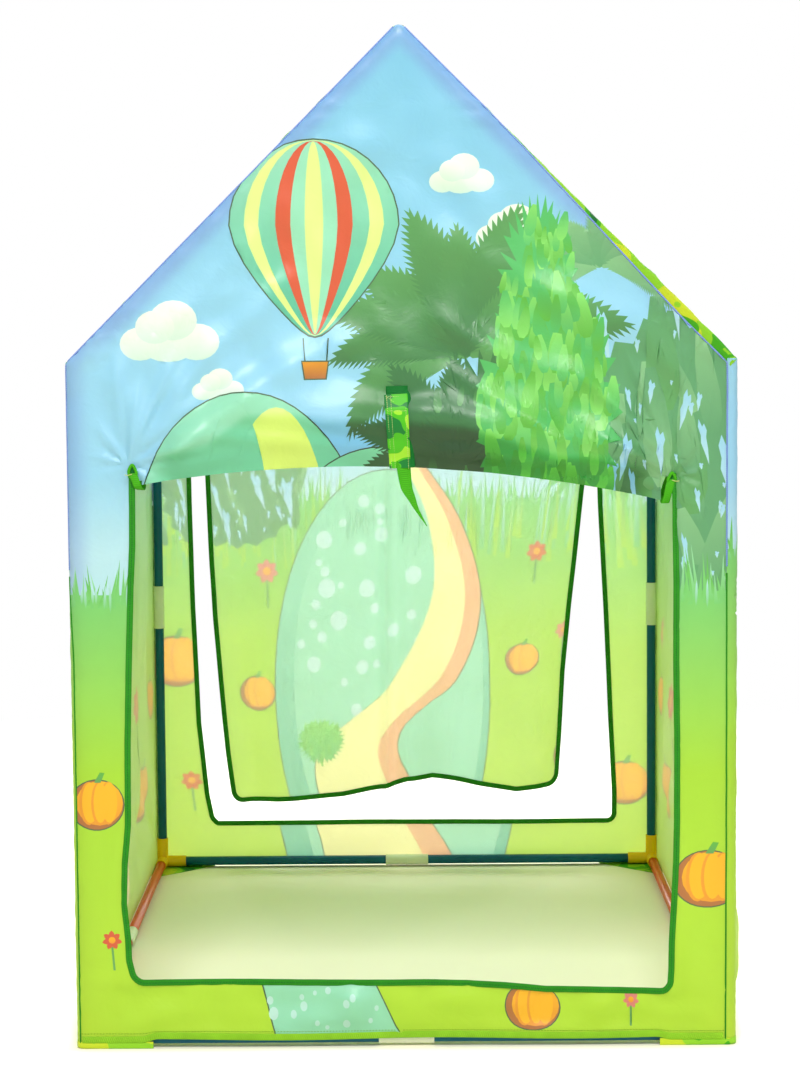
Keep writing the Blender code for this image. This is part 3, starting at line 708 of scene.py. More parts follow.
def wrapped(x, z):
    """Where a flat gable point goes once the cloth turns round the tubes: x, z, how far back, how far inside."""
    spot = np.stack([x, z], -1)
    nearest, away = None, np.full(x.shape, 9.0)
    for start, end in tube_lines():
        run = end - start
        share = np.clip(((spot - start) @ run) / (run @ run), 0, 1)
        on_line = start + share[:, None] * run
        distance = np.linalg.norm(spot - on_line, axis=1)
        closer = distance < away
        nearest = on_line if nearest is None else np.where(closer[:, None], on_line, nearest)
        away = np.minimum(away, distance)
    beyond_post = np.abs(x) - POST_X
    beyond_rafter = (z - EAVE_Z) * math.cos(PITCH) + beyond_post * math.sin(PITCH)
    outside = (beyond_post > 0) | (beyond_rafter > 0)
    turn = np.where(outside, np.minimum(away / TURN, QUARTER), 0)
    direction = (spot - nearest) / np.maximum(away, 1e-9)[:, None]
    moved = nearest + direction * (TURN * np.sin(turn))[:, None]
    spot = np.where(outside[:, None], moved, spot)
    return spot[:, 0], spot[:, 1], TURN * (1 - np.cos(turn)), np.where(outside, 0, away)


# How far each doorway edge has stretched outwards, against height, and how far the front lip has risen
BOW_HEIGHTS = (0.062, 0.085, 0.111, 0.153, 0.194, 0.236, 0.319, 0.402, 0.485, 0.526, 0.60)
LEFT_BOWS = (0.0006, 0.0060, 0.0068, 0.0108, 0.0092, 0.0048, 0.0035, 0.0010, -0.0022, -0.0048, -0.0062)
RIGHT_BOWS = (-0.0082, -0.0070, -0.0066, -0.0040, -0.0018, -0.0007, -0.0004, -0.0018, -0.0014, -0.0020, -0.0030)
REAR_HEIGHTS = (0.062, 0.10, 0.20, 0.36, 0.50, 0.60)
REAR_LEFT_BOWS = (-0.0170, -0.0095, 0.0010, 0.0075, 0.0105, 0.0118)
REAR_RIGHT_BOWS = (0.0025, 0.0030, -0.0022, -0.0092, -0.0170, -0.0200)
LIP_PLACES = (-0.281, 0.02, 0.063, 0.105, 0.146, 0.19, 0.281)
LIP_RISES = (0.0096, 0.0096, 0.0078, 0.0046, 0.0000, -0.0008, -0.0024)


def doorway_bow(x, z, heights, left, right):
    """How far the doorway's edges have stretched outwards at a point beside them."""
    bow = np.where(x < 0, np.interp(z, heights, left), np.interp(z, heights, right))
    beside = np.clip(1 - np.abs(np.abs(x) - DOOR_HALF) / (POST_X - DOOR_HALF), 0, 1)
    above = 1 - fade(DOOR_TOP, DOOR_TOP + 0.10, z)
    return np.sign(x) * bow * beside * above


# The ridge where the header turns over the rolled door: against x, how far it lies above the header's lower edge
RIDGE_PLACES = (-0.281, -0.258, -0.199, -0.159, -0.110, -0.075, 0.0, 0.064, 0.107, 0.159, 0.204, 0.256, 0.281)
RIDGE_RISES = (0.016, 0.025, 0.033, 0.058, 0.056, 0.049, 0.048, 0.046, 0.037, 0.026, 0.032, 0.031, 0.024)


def header_painted_shade(x, z):
    """How much deeper the ink looks where the header is bound tight round the roll, below its ridge."""
    up, ridge = z - header_height(x), np.interp(x, RIDGE_PLACES, RIDGE_RISES)
    over = 1 - fade(ROLL_HALF - 0.030, ROLL_HALF + 0.002, np.abs(x))
    return (0.50 + 0.25 * fade(-0.02, 0.05, x)) * over * (1 - fade(ridge - 0.007, ridge + 0.004, up)) * (up > -0.001)


def header_push(x, z):
    """How far the header stands out over the rolled door, and turns in under it at its lower edge."""
    up, ridge = z - header_height(x), np.interp(x, RIDGE_PLACES, RIDGE_RISES)
    over = 1 - fade(ROLL_HALF - 0.040, ROLL_HALF - 0.003, np.abs(x))
    pinch = 1 - 0.45 * hump(ROLL_HALF, 0.034, np.abs(x)) - 0.25 * hump(0, 0.022, x)
    below = 1 - 0.80 * np.clip(1 - up / ridge, 0, 1) ** 1.35
    bulge = sizes().roll_bulge * pinch * np.where(up > ridge, hump(0, 0.034, up - ridge), below)
    creases = unevenness(x * 0.3, z, 0.030, 5) * 0.0018 * hump(0.035, 0.034, up)
    return over * (bulge + creases * fade(0.0, 0.012, up)) * (up > -0.001)


def place_front(x, z):
    sag, crumple, folds = sizes().slack, sizes().crumple, sizes().tie_folds
    bow = doorway_bow(x, z, BOW_HEIGHTS, LEFT_BOWS, RIGHT_BOWS)
    flat_x, flat_z = x, z
    from_edge = np.where(z < DOOR_TOP, np.maximum(np.abs(x) - DOOR_HALF, DOOR_LIP - z), 1.0)
    z = z + np.interp(x, LIP_PLACES, LIP_RISES) * fade(0.006, DOOR_LIP, z) * (1 - fade(DOOR_LIP, DOOR_LIP + 0.10, z))
    x, z, back, inside = wrapped(x + bow, z)
    loose = fade(0.010, 0.060, inside) * fade(0.010, 0.045, z)
    small = loose * fade(0.003, 0.016, from_edge)
    push = loose * sag * unevenness(x, z, 0.30, 3) * 0.8 + small * crumple * unevenness(x, z, 0.11, 4)
    strips = 1 - fade(DOOR_TOP - 0.10, DOOR_TOP, flat_z)
    push += strips * small * 0.0028 * unevenness(x * 3.2, z * 0.5, 0.11, 8)
    push += (1 - strips) * loose * 0.0020 * unevenness(x * 0.7 + z * 0.5, z * 0.6 - x * 0.3, 0.055, 15)
    for side in (-1, 1):
        knot = (side * DOOR_HALF, DOOR_TOP + (0.016 if side < 0 else 0.002))
        push += folds * 0.5 * star_folds(x, z, knot, 7, 0.017) * fade(0.0, 0.03, inside)
        push += folds * 0.5 * star_folds(x, z, knot, 5, 0.060) * loose
        push -= 0.0026 * np.exp(-np.hypot(x - knot[0], z - knot[1]) / 0.012)
        for (far_x, far_z), high, wide in TIE_CREASES:
            push += high * fade(0, 0.03, inside) * tension(x, z, knot, (side * far_x, far_z), wide)
        push += 0.0024 * loose * tension(x, z, (side * 0.33, 0.74), (side * 0.12, 0.80), 0.012)
    for places, high, width in SWAGS:
        push += loose * swag(x, z, places, high, width)
    push += header_push(flat_x, flat_z)
    lip = (1 - fade(DOOR_LIP - 0.004, DOOR_LIP + 0.01, flat_z)) * fade(0.012, 0.03, flat_z)
    push += lip * fade(0.003, 0.012, from_edge) * 0.0022 * unevenness(x * 0.35, z, 0.040, 9)
    run = np.where(z > EAVE_Z, (z - EAVE_Z) / math.sin(PITCH), z)
    pucker = hump(0.006, 0.010, inside) * (z > EAVE_Z) * np.clip(unevenness(run, run * 0, 0.12, 6), 0, 1)
    push += 0.0012 * pucker * (1 + np.sin(math.tau * run / 0.0125 + 2 * np.sin(run * 40)))
    push += 0.0007 * hump(0, 0.012, inside) * unevenness(x, z, 0.05, 12) * fade(0.02, 0.05, z)
    y = -(FRONT_Y + np.maximum(push, -sag * fade(0.018, 0.045, inside)) - back)
    lift = (0.0030 + 0.0012 * np.sin(x * 21 + 1)) * (1 - fade(HEM_Z, HEM_Z + 0.02, flat_z))
    return np.stack([x, y, z + lift * (1 - fade(POST_X - 0.075, POST_X - 0.06, np.abs(x)))], -1)


# Creases that spread from a side tie: where to, as (x outwards, z), their height and their half width
TIE_CREASES = (
    ((0.205, 0.638), 0.0040, 0.0046), ((0.190, 0.622), -0.0020, 0.0036), ((0.205, 0.672), -0.0030, 0.0050),
    ((0.170, 0.715), 0.0040, 0.0085), ((0.225, 0.740), 0.0034, 0.0060), ((0.238, 0.690), -0.0024, 0.0040),
    ((0.268, 0.700), 0.0024, 0.0040), ((0.285, 0.690), -0.0024, 0.0034), ((0.300, 0.790), 0.0026, 0.0070),
    ((0.318, 0.660), 0.0016, 0.0040), ((0.312, 0.540), 0.0020, 0.0044), ((0.296, 0.440), 0.0018, 0.0046),
)

# Long soft folds of the front gable: the line of the ridge through (x, z) places, its height and its half width
SWAGS = (
    (((-0.262, 0.604), (-0.200, 0.655), (-0.130, 0.705), (-0.020, 0.750)), 0.0066, 0.016),
    (((-0.255, 0.640), (-0.200, 0.725), (-0.110, 0.800)), 0.0052, 0.017),
    (((-0.300, 0.700), (-0.220, 0.780), (-0.120, 0.880)), 0.0046, 0.018),
    (((0.050, 0.705), (0.104, 0.672), (0.161, 0.640), (0.206, 0.638), (0.270, 0.606)), 0.0052, 0.011),
    (((0.030, 0.760), (0.120, 0.715), (0.200, 0.690), (0.265, 0.625)), 0.0062, 0.014),
    (((0.060, 0.835), (0.160, 0.775), (0.250, 0.745), (0.310, 0.660)), 0.0052, 0.018),
    (((-0.120, 0.960), (0.000, 0.930), (0.110, 0.880)), 0.0040, 0.022),
    (((-0.060, 0.700), (0.000, 0.680), (0.060, 0.690)), -0.0034, 0.012),
)


def swag(x, z, places, high, width):
    """One long fold that hangs between the first and the last of its places, and dies away at both."""
    across, line = zip(*places)
    reach = (across[-1] - across[0]) * 0.18
    ends = fade(across[0] - reach, across[0] + reach, x) * (1 - fade(across[-1] - reach, across[-1] + reach, x))
    return high * ends * hump(0, width, z - np.interp(x, across, line))


def place_rear(x, z):
    sag, crumple = sizes().slack, sizes().crumple
    x, z, back, inside = wrapped(x + doorway_bow(x, z, REAR_HEIGHTS, REAR_LEFT_BOWS, REAR_RIGHT_BOWS), z)
    loose = fade(0.010, 0.060, inside) * fade(0.010, 0.045, z)
    push = loose * (sag * unevenness(x, z, 0.32, 13) * 0.6 + crumple * unevenness(x, z, 0.12, 14) * 0.7)
    for side in (-1, 1):
        push += 0.0022 * loose * tension(x, z, (side * DOOR_HALF, DOOR_TOP), (side * 0.10, 0.80), 0.012)
    return np.stack([x, FRONT_Y + push - back, z - 0.0048 * (1 - fade(HEM_Z, HEM_Z + 0.02, z))], -1)


# Long soft folds of a side wall: the line of the ridge through (y, z) places, its height and its half width
WALL_SWAGS = (
    (((-0.400, 0.600), (-0.200, 0.545), (0.020, 0.530), (0.240, 0.556), (0.410, 0.610)), 0.0042, 0.017),
    (((-0.360, 0.100), (-0.100, 0.140), (0.160, 0.120), (0.360, 0.085)), 0.0034, 0.015),
    (((-0.330, 0.470), (-0.120, 0.400), (0.080, 0.390)), 0.0030, 0.014),
)


def wall_reach(side, z, end):
    """How far a side wall's end edge lies past the post's centre line."""
    turn = front_seam_turn(side, z) if end < 0 else rear_seam_turn(side, z)
    return TURN * (QUARTER - turn)


def place_wall(side, seed):
    def place(y, z):
        past = np.abs(y) - POST_Y
        turn = np.clip(past / TURN, 0, QUARTER)
        back = TURN * (1 - np.cos(turn)) + np.maximum(past - TURN * QUARTER, 0)
        along = np.where(past > 0, np.sign(y) * (POST_Y + TURN * np.sin(turn)), y)
        loose = fade(0.012, 0.070, -past) * fade(0.014, 0.060, z) * fade(0.004, 0.06, EAVE_Z - z)
        push = loose * (sizes().slack * unevenness(y, z, 0.40, seed) + sizes().crumple * unevenness(y, z, 0.13, seed + 1))
        for end in (-1, 1):
            push += 0.0052 * loose * tension(y, z, (end * 0.45, 0.70), (end * 0.16, 0.42), 0.013)
            push += 0.0040 * loose * tension(y, z, (end * 0.45, 0.62), (end * 0.28, 0.30), 0.010)
            push += 0.0044 * loose * tension(y, z, (end * 0.45, 0.02), (end * 0.20, 0.22), 0.012)
        for places, high, width in WALL_SWAGS:
            push += loose * swag(y, z, places, high, width)
        edge = hump(0.012, 0.014, -past) * fade(0.03, 0.06, z)
        push += 0.0008 * edge * unevenness(z, y * 0.3, 0.035, seed + 2)
        push = np.maximum(push, -sizes().slack * 1.4 * fade(0.018, 0.045, -past))
        return np.stack([side * (SIDE_X + push - back), along, z], -1)

    return place


def place_roof(y, along):
    """A roof point from how far it lies down the slope from the ridge, left of it below 0."""
    side, down = np.sign(along), np.abs(along)
    past = np.abs(y) - POST_Y
    turn = np.clip(past / TURN, 0, QUARTER)
    back = TURN * (1 - np.cos(turn)) + np.maximum(past - TURN * QUARTER, 0)
    lean = PITCH * np.clip(down / (TURN * math.tan(PITCH)), 0, 1)
    loose = fade(0.012, 0.080, -past) * fade(0.012, 0.07, down) * fade(0.004, 0.06, slope_length() - down)
    push = loose * (sizes().slack * (unevenness(y, along, 0.38, 31) - 0.9) + sizes().crumple * unevenness(y, along, 0.12, 32))
    for end in (-1, 1):
        for one in (-1, 1):
            push += 0.0048 * loose * tension(y, along, (end * 0.45, one * 0.46), (end * 0.16, one * 0.18), 0.013)
            push += 0.0036 * loose * tension(y, along, (end * 0.45, one * 0.04), (end * 0.22, one * 0.24), 0.012)
    edge = hump(0.012, 0.014, -past) * fade(0.02, 0.05, down)
    push += 0.0010 * edge * unevenness(along, y * 0.3, 0.035, 33)
    flat = np.maximum(down - TURN * math.tan(PITCH), 0)
    reach = TURN + push - back
    x = side * (reach * np.sin(lean) + flat * math.cos(PITCH))
    z = RIDGE_Z + reach * np.cos(lean) - flat * math.sin(PITCH)
    return np.stack([x, np.where(past > 0, np.sign(y) * (POST_Y + TURN * np.sin(turn)), y), z], -1)


def slope_length():
    """From the ridge's tangent point to the eave corner, plus the part that bends over the ridge."""
    return TURN * math.tan(PITCH) + POST_X / math.cos(PITCH) + TURN * math.tan(PITCH / 2)


# Tapes, cords and stitches


def curve_through(places, steps):
    """Points of a smooth curve through the places."""
    places = [np.array(place, float) for place in places]
    padded = [2 * places[0] - places[1], *places, 2 * places[-1] - places[-2]]
    found = []
    for a, b, c, d in zip(padded, padded[1:], padded[2:], padded[3:]):
        for i in range(steps):
            t = i / steps
            found.append(0.5 * (2 * b + (c - a) * t + (2 * a - 5 * b + 4 * c - d) * t**2 + (3 * b - a - 3 * c + d) * t**3))
    return [tuple(spot) for spot in found + [places[-1]]]


def evenly(path, spacing):
    """The path's points at even distances along it."""
    path = np.asarray(path, float)
    run = np.concatenate([[0], np.cumsum(np.linalg.norm(np.diff(path, axis=0), axis=1))])
    stops = np.linspace(0, run[-1], max(2, round(run[-1] / spacing) + 1))
    return np.stack([np.interp(stops, run, path[:, c]) for c in range(path.shape[1])], -1)


def unit(vectors):
    return vectors / np.maximum(np.linalg.norm(vectors, axis=-1, keepdims=True), 1e-12)


def band(name, path, half_width, half_thickness, facing, finish, sides=12, squareness=0.5, closed=False):
    """A tape or a cord swept along a path. facing is the way that its flat side looks."""
    path = np.asarray(path, float)
    count = len(path)
    if closed:
        tangent = unit(np.roll(path, -1, 0) - np.roll(path, 1, 0))
    else:
        tangent = unit(np.gradient(path, axis=0))
    across = unit(np.cross(tangent, np.broadcast_to(np.asarray(facing, float), path.shape)))
    out = np.cross(across, tangent)
    wide = np.broadcast_to(half_width, count)[:, None]
    turns = [math.tau * i / sides for i in range(sides)]
    rings = []
    for a in turns:
        w = math.copysign(abs(math.cos(a)) ** squareness, math.cos(a))
        t = math.copysign(abs(math.sin(a)) ** squareness, math.sin(a))
        rings.append(path + across * wide * w + out * half_thickness * t)
    spots = np.stack(rings, 1).reshape(-1, 3)
    faces = []
    for i in range(count if closed else count - 1):
        here, there = i * sides, (i + 1) % count * sides
        faces += [(here + k, here + (k + 1) % sides, there + (k + 1) % sides, there + k) for k in range(sides)]
    if not closed:
        faces += [tuple(range(sides))[::-1], tuple(range((count - 1) * sides, count * sides))]
    piece = add_mesh(name, spots, faces, [finish])
    run = np.concatenate([[0], np.cumsum(np.linalg.norm(np.diff(path, axis=0), axis=1))])
    cut_map = piece.data.uv_layers.new(name="cut")
    corner = np.zeros(len(piece.data.loops), np.int32)
    piece.data.loops.foreach_get("vertex_index", corner)
    width = float(np.max(half_width)) * 2
    cut_map.data.foreach_set("uv", np.stack([run[corner // sides], corner % sides / sides * width * 2], -1).astype(np.float32).ravel())
    select_only(piece)
    bpy.ops.object.mode_set(mode="EDIT")
    bpy.ops.mesh.select_all(action="SELECT")
    bpy.ops.mesh.normals_make_consistent(inside=False)
    bpy.ops.object.mode_set(mode="OBJECT")
    bpy.ops.object.shade_smooth_by_angle(angle=math.radians(60))
    return piece


def stitches(name, path, facing, lift, finish, pitch=None, radius=0.00035):
    """A row of thread stitches on a path, each a small capsule that stands on the cloth."""
    pitch = pitch or sizes().stitch
    spots = evenly(path, pitch)
    tangent = unit(np.gradient(spots, axis=0))
    up = unit(np.broadcast_to(np.asarray(facing, float), spots.shape))
    across = unit(np.cross(up, tangent))
    around, rings = 6, ((-0.36, 0.35), (-0.28, 1.0), (0.28, 1.0), (0.36, 0.35))
    shape = []
    for share, fat in rings:
        for k in range(around):
            a = math.tau * k / around
            shape.append((share * pitch, fat * radius * math.cos(a), fat * radius * math.sin(a) - 0.5 * radius * (fat < 1)))
    faces = [tuple(range(around))[::-1], tuple(range(3 * around, 4 * around))]
    for r in range(3):
        faces += [(r * around + k, r * around + (k + 1) % around, (r + 1) * around + (k + 1) % around, (r + 1) * around + k)
                  for k in range(around)]
    shape = np.array(shape)
    everything = (spots + up * lift)[:, None] + tangent[:, None] * shape[None, :, :1]
    everything = everything + across[:, None] * shape[None, :, 1:2] + up[:, None] * shape[None, :, 2:]
    all_faces = [tuple(v + i * len(shape) for v in face) for i in range(len(spots)) for face in faces]
    piece = add_mesh(name, everything.reshape(-1, 3), all_faces, [finish])
    piece.data.shade_smooth()
    return piece


def settle(piece, body, slot, *nodes):
    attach(piece, body)
    if nodes:
        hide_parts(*nodes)
    return piece


# Materials


def blank(name):
    """An empty node material, or None if it is there already."""
    finish = bpy.data.materials.new(name)
    finish.use_nodes = True
    finish.node_tree.nodes.clear()
    return finish, finish.node_tree


def add(tree, kind, sockets=None, **settings):
    """Adds a node with its settings, and fills or links its sockets."""
    made = tree.nodes.new(kind)
    for key, value in settings.items():
        setattr(made, key, value)
    for socket, value in (sockets or {}).items():
        if isinstance(value, bpy.types.NodeSocket):
            tree.links.new(value, made.inputs[socket])
        else:
            made.inputs[socket].default_value = value
    return made


def band_scale(period):
    """The Wave texture's scale for bands of that period."""
    return math.tau / (20 * period)


def camouflage(tree, place, blotch, deep=0.0):
    """Rounded blotches of four greens and yellows, about one blotch size across. deep brings up the darker ones."""
    slow = add(tree, "ShaderNodeTexNoise", {"Vector": place, "Scale": 0.55 / blotch, "Detail": 1.0, "Distortion": 0.6})
    quick = add(tree, "ShaderNodeTexNoise", {"Vector": place, "Scale": 1.3 / blotch, "Detail": 0.5, "Distortion": 0.4})
    base = add(tree, "ShaderNodeValToRGB", {"Fac": slow.outputs["Fac"]})
    base.color_ramp.interpolation = "CONSTANT"
    low, mid, high = 0.40 + deep, 0.47 + deep, 0.60 + deep
    for spot, name in ((0.0, "camo_dark"), (low, "camo_green"), (mid, "camo_lime"), (high, "camo_yellow")):
        stop = base.color_ramp.elements[0] if spot == 0 else base.color_ramp.elements.new(spot)
        stop.color = (*tone(name), 1)
    base.color_ramp.elements.remove(base.color_ramp.elements[-1])
    above = add(tree, "ShaderNodeMath", {0: quick.outputs["Fac"], 1: 0.63}, operation="GREATER_THAN")
    mixed = add(tree, "ShaderNodeMix", {"Factor": above.outputs[0], 6: base.outputs["Color"], 7: (*tone("camo_green"), 1)},
                data_type="RGBA")
    return mixed.outputs[2]


def polyester(name, glow, wash=0.0, blotch=0.0, gloss=0.46, deep=0.0):
    """Woven polyester taffeta, printed on one side. It is thin, so light comes through it, and its flat yarns shine."""
    finish, tree = blank(name)
    coordinates = add(tree, "ShaderNodeTexCoord")
    cut = coordinates.outputs["UV"]
    if blotch:
        ink = camouflage(tree, coordinates.outputs["Object"], blotch, deep)
    else:
        ink = add(tree, "ShaderNodeAttribute", attribute_name="print").outputs["Color"]
    uneven = add(tree, "ShaderNodeTexNoise", {"Vector": cut, "Scale": 9.0, "Detail": 3.0})
    shade = add(tree, "ShaderNodeMapRange", {"Value": uneven.outputs["Fac"], "From Min": 0.3, "From Max": 0.7,
                                             "To Min": 0.0, "To Max": 0.10})
    deep = add(tree, "ShaderNodeMix", {"Factor": 0.8, 6: ink, 7: ink}, data_type="RGBA", blend_type="MULTIPLY")
    ink = add(tree, "ShaderNodeMix", {"Factor": shade.outputs[0], 6: ink, 7: deep.outputs[2]}, data_type="RGBA").outputs[2]
    if wash:
        ink = add(tree, "ShaderNodeMix", {"Factor": wash, 6: ink, 7: (1, 0.93, 1, 1)}, data_type="RGBA").outputs[2]
    scale = band_scale(sizes().weave)
    warp = add(tree, "ShaderNodeTexWave", {"Vector": cut, "Scale": scale, "Distortion": 0.3}, bands_direction="X")
    weft = add(tree, "ShaderNodeTexWave", {"Vector": cut, "Scale": scale, "Distortion": 0.3}, bands_direction="Y")
    weave = add(tree, "ShaderNodeMath", {0: warp.outputs["Fac"], 1: weft.outputs["Fac"]}, operation="MULTIPLY")
    crush = add(tree, "ShaderNodeTexNoise", {"Vector": cut, "Scale": 26.0, "Detail": 4.0, "Roughness": 0.55, "Distortion": 0.8})
    threads = add(tree, "ShaderNodeBump", {"Strength": 0.12, "Distance": 0.0002, "Height": weave.outputs[0]})
    creased = add(tree, "ShaderNodeBump", {"Strength": 0.50, "Distance": 0.0024, "Height": crush.outputs["Fac"],
                                           "Normal": threads.outputs["Normal"]})
    rough = add(tree, "ShaderNodeMapRange", {"Value": crush.outputs["Fac"], "To Min": gloss - 0.06, "To Max": gloss + 0.08})
    skin = add(tree, "ShaderNodeBsdfPrincipled", {
        "Base Color": ink, "Roughness": rough.outputs[0], "Normal": creased.outputs["Normal"],
        "IOR": 1.54, "Specular IOR Level": 0.25 if blotch else 0.80, "Sheen Weight": 0.02, "Sheen Roughness": 0.4,
    })
    pale = add(tree, "ShaderNodeMix", {"Factor": 0.70 if wash else 0.10, 6: ink, 7: (1, 1, 1, 1)}, data_type="RGBA")
    through = add(tree, "ShaderNodeBsdfTranslucent", {"Color": pale.outputs[2], "Normal": creased.outputs["Normal"]})
    both = add(tree, "ShaderNodeMixShader", {"Fac": glow, 1: skin.outputs[0], 2: through.outputs[0]})
    add(tree, "ShaderNodeOutputMaterial", {"Surface": both.outputs[0]})
    return finish


def bias_tape(name, colour_name, rib=0.0016):
    """Woven polyester bias tape. Its slanting ribs catch the light and its folded edges are a little darker."""
    finish, tree = blank(name)
    cut = add(tree, "ShaderNodeTexCoord").outputs["UV"]
    slanted = add(tree, "ShaderNodeMapping", {"Vector": cut, "Rotation": (0, 0, math.radians(38))})
    ribs = add(tree, "ShaderNodeTexWave", {"Vector": slanted.outputs[0], "Scale": band_scale(rib), "Distortion": 0.6})
    worn = add(tree, "ShaderNodeTexNoise", {"Vector": cut, "Scale": 60.0, "Detail": 4.0})
    # Lighter and darker copies of the tape's colour along the ribs: painted highlight and painted shade
    painted_rib_shade, light = (*(tone(colour_name) * 0.62), 1), (*np.minimum(tone(colour_name) * 1.25, 1), 1)
    blend = add(tree, "ShaderNodeMath", {0: ribs.outputs["Fac"], 1: worn.outputs["Fac"]}, operation="MULTIPLY")
    ink = add(tree, "ShaderNodeMix", {"Factor": blend.outputs[0], 6: painted_rib_shade, 7: light}, data_type="RGBA")
    bump = add(tree, "ShaderNodeBump", {"Strength": 0.5, "Distance": 0.0004, "Height": ribs.outputs["Fac"]})
    skin = add(tree, "ShaderNodeBsdfPrincipled", {
        "Base Color": ink.outputs[2], "Roughness": 0.6, "Normal": bump.outputs["Normal"], "Specular IOR Level": 0.15,
    })
    add(tree, "ShaderNodeOutputMaterial", {"Surface": skin.outputs[0]})
    return finish


def plastic(name, colour_name, roughness, milky=0.0):
    """Moulded or extruded polypropylene: a soft gloss with faint flow marks and fine scuffs."""
    finish, tree = blank(name)
    place = add(tree, "ShaderNodeTexCoord").outputs["Object"]
    cloudy = add(tree, "ShaderNodeTexNoise", {"Vector": place, "Scale": 22.0, "Detail": 3.0})
    scuffs = add(tree, "ShaderNodeTexNoise", {"Vector": place, "Scale": 900.0, "Detail": 2.0})
    deep, bright = (*(tone(colour_name) * 0.88), 1), (*np.minimum(tone(colour_name) * 1.08, 1), 1)
    ink = add(tree, "ShaderNodeMix", {"Factor": cloudy.outputs["Fac"], 6: deep, 7: bright}, data_type="RGBA")
    rough = add(tree, "ShaderNodeMapRange", {"Value": scuffs.outputs["Fac"], "To Min": roughness - 0.06, "To Max": roughness + 0.1})
    bump = add(tree, "ShaderNodeBump", {"Strength": 0.08, "Distance": 0.0002, "Height": scuffs.outputs["Fac"]})
    skin = add(tree, "ShaderNodeBsdfPrincipled", {
        "Base Color": ink.outputs[2], "Roughness": rough.outputs[0], "Normal": bump.outputs["Normal"], "IOR": 1.49,
        "Specular IOR Level": 0.25, "Subsurface Weight": milky, "Subsurface Radius": (0.004, 0.004, 0.003),
    })
    add(tree, "ShaderNodeOutputMaterial", {"Surface": skin.outputs[0]})
    return finish


FINISHES = {}


def finish(name):
    """A finish of the tent by name, made the first time that it is asked for."""
    if name not in FINISHES:
        kind, *settings = {
            "gable_print": (polyester, 0.42, 0.0, 0.0, 0.42),
            "gable_reverse": (polyester, 0.50, 0.72),
            "rear_print": (polyester, 0.58, 0.0, 0.0, 0.42),
            "rear_reverse": (polyester, 0.50, 0.84),
            "roof_camouflage": (polyester, 0.45, 0.0, 0.036, 0.46, -0.03),
            "roof_reverse": (polyester, 0.50, 0.60, 0.036, 0.46, -0.03),
            "strap_camouflage": (polyester, 0.05, 0.0, 0.021, 0.5, 0.06),
            "pocket_camouflage": (polyester, 0.10, 0.0, 0.030, 0.46, -0.03),
            "doorway_tape": (bias_tape, "tape"),
            "lime_tape": (bias_tape, "camo_lime"),
            "sky_tape": (bias_tape, "sky"),
            "violet_tape": (bias_tape, "violet"),
            "bright_tape": (bias_tape, "camo_green"),
            "pale_thread": (bias_tape, "spring", 0.0008),
            # Dark green for stitches, and for the sheets that paint shade behind the strap and in the tie loops
            "thread_green": (bias_tape, "camo_dark", 0.0008),
            "blue_polypropylene": (plastic, "blue_tube", 0.34),
            "orange_polypropylene": (plastic, "orange_tube", 0.34),
            "yellow_polypropylene": (plastic, "connector", 0.40),
            "milky_polypropylene": (plastic, "coupler", 0.42, 0.5),
        }[name]
        FINISHES[name] = kind(name, *settings)
    return FINISHES[name]


CLOTH_PAIR = ("gable_print", "gable_reverse")
REAR_PAIR = ("rear_print", "rear_reverse")


def pair(names):
    return [finish(name) for name in names]


# The pieces


def gable_painted_edge_shade(x, z):
    """The violet shade along the sloping edges of the sky."""
    away = (RIDGE_Z - z) * math.cos(PITCH) - np.abs(x) * math.sin(PITCH)
    side = POST_X - np.abs(x)
    slope = (1 - fade(0.0, 0.016, away)) * fade(EAVE_Z - 0.01, EAVE_Z + 0.05, z)
    return np.clip(0.45 * slope + 0.30 * (1 - fade(0.0, 0.018, side)), 0, 1)


def swept_binding(name, edge, place, facing, body, slot):
    """The tape over a doorway edge and its row of stitches."""
    flat = evenly(edge, 0.0035)
    path = place(flat[:, 0], flat[:, 1])
    path[:, 1] += 0.00015 * (np.sin(np.arange(len(path)) * 0.7) + np.sin(np.arange(len(path)) * 0.21))
    path[:, 1] -= facing[1] * CLOTH / 2
    tape = band(name, path, sizes().binding / 2, 0.0016, facing, finish("doorway_tape"), 14)
    settle(tape, body, slot)
    row = stitches(name + "_stitches", path, facing, 0.0015, finish("thread_green"))
    settle(row, body, slot)
    return [tape, row]


def front_cloth():
    outline = finely(gable_outline(front_seam_turn), sizes().grid)
    fine = [(-0.31, 0.565, 0.31, 0.725, sizes().fine_grid)]
    hole = finely(front_doorway(), sizes().grid)
    cut = cut_cloth(outline, [hole], front_art(), SKY_STOPS, None, fine, gable_painted_edge_shade, header_painted_shade)
    cloth = hang("front_cloth", cut, place_front, (0, -1, 0), pair(CLOTH_PAIR))
    settle(cloth, "tent", "gable_cloth", "front_panel")
    edge = doorway_edge(0.0022)
    edge = [(edge[0][0] + 0.001, DOOR_TOP + 0.009)] + edge + [(edge[-1][0], DOOR_TOP + 0.003)]
    trims = swept_binding("front_doorway_binding", edge, place_front, (0, -1, 0), "tent", "tie_ribbon")


def rear_cloth():
    outline = finely(gable_outline(rear_seam_turn), sizes().grid)
    hole = doorway_edge(0)
    cut = cut_cloth(outline, [finely(hole, sizes().grid)], rear_art(), SKY_STOPS, None, (), gable_painted_edge_shade)
    cloth = hang("rear_cloth", cut, place_rear, (0, 1, 0), pair(REAR_PAIR))
    settle(cloth, "tent", "gable_cloth", "rear_panel")
    edge = doorway_edge(0.0022)
    trims = swept_binding("rear_doorway_binding", edge, place_rear, (0, 1, 0), "tent", "tie_ribbon")


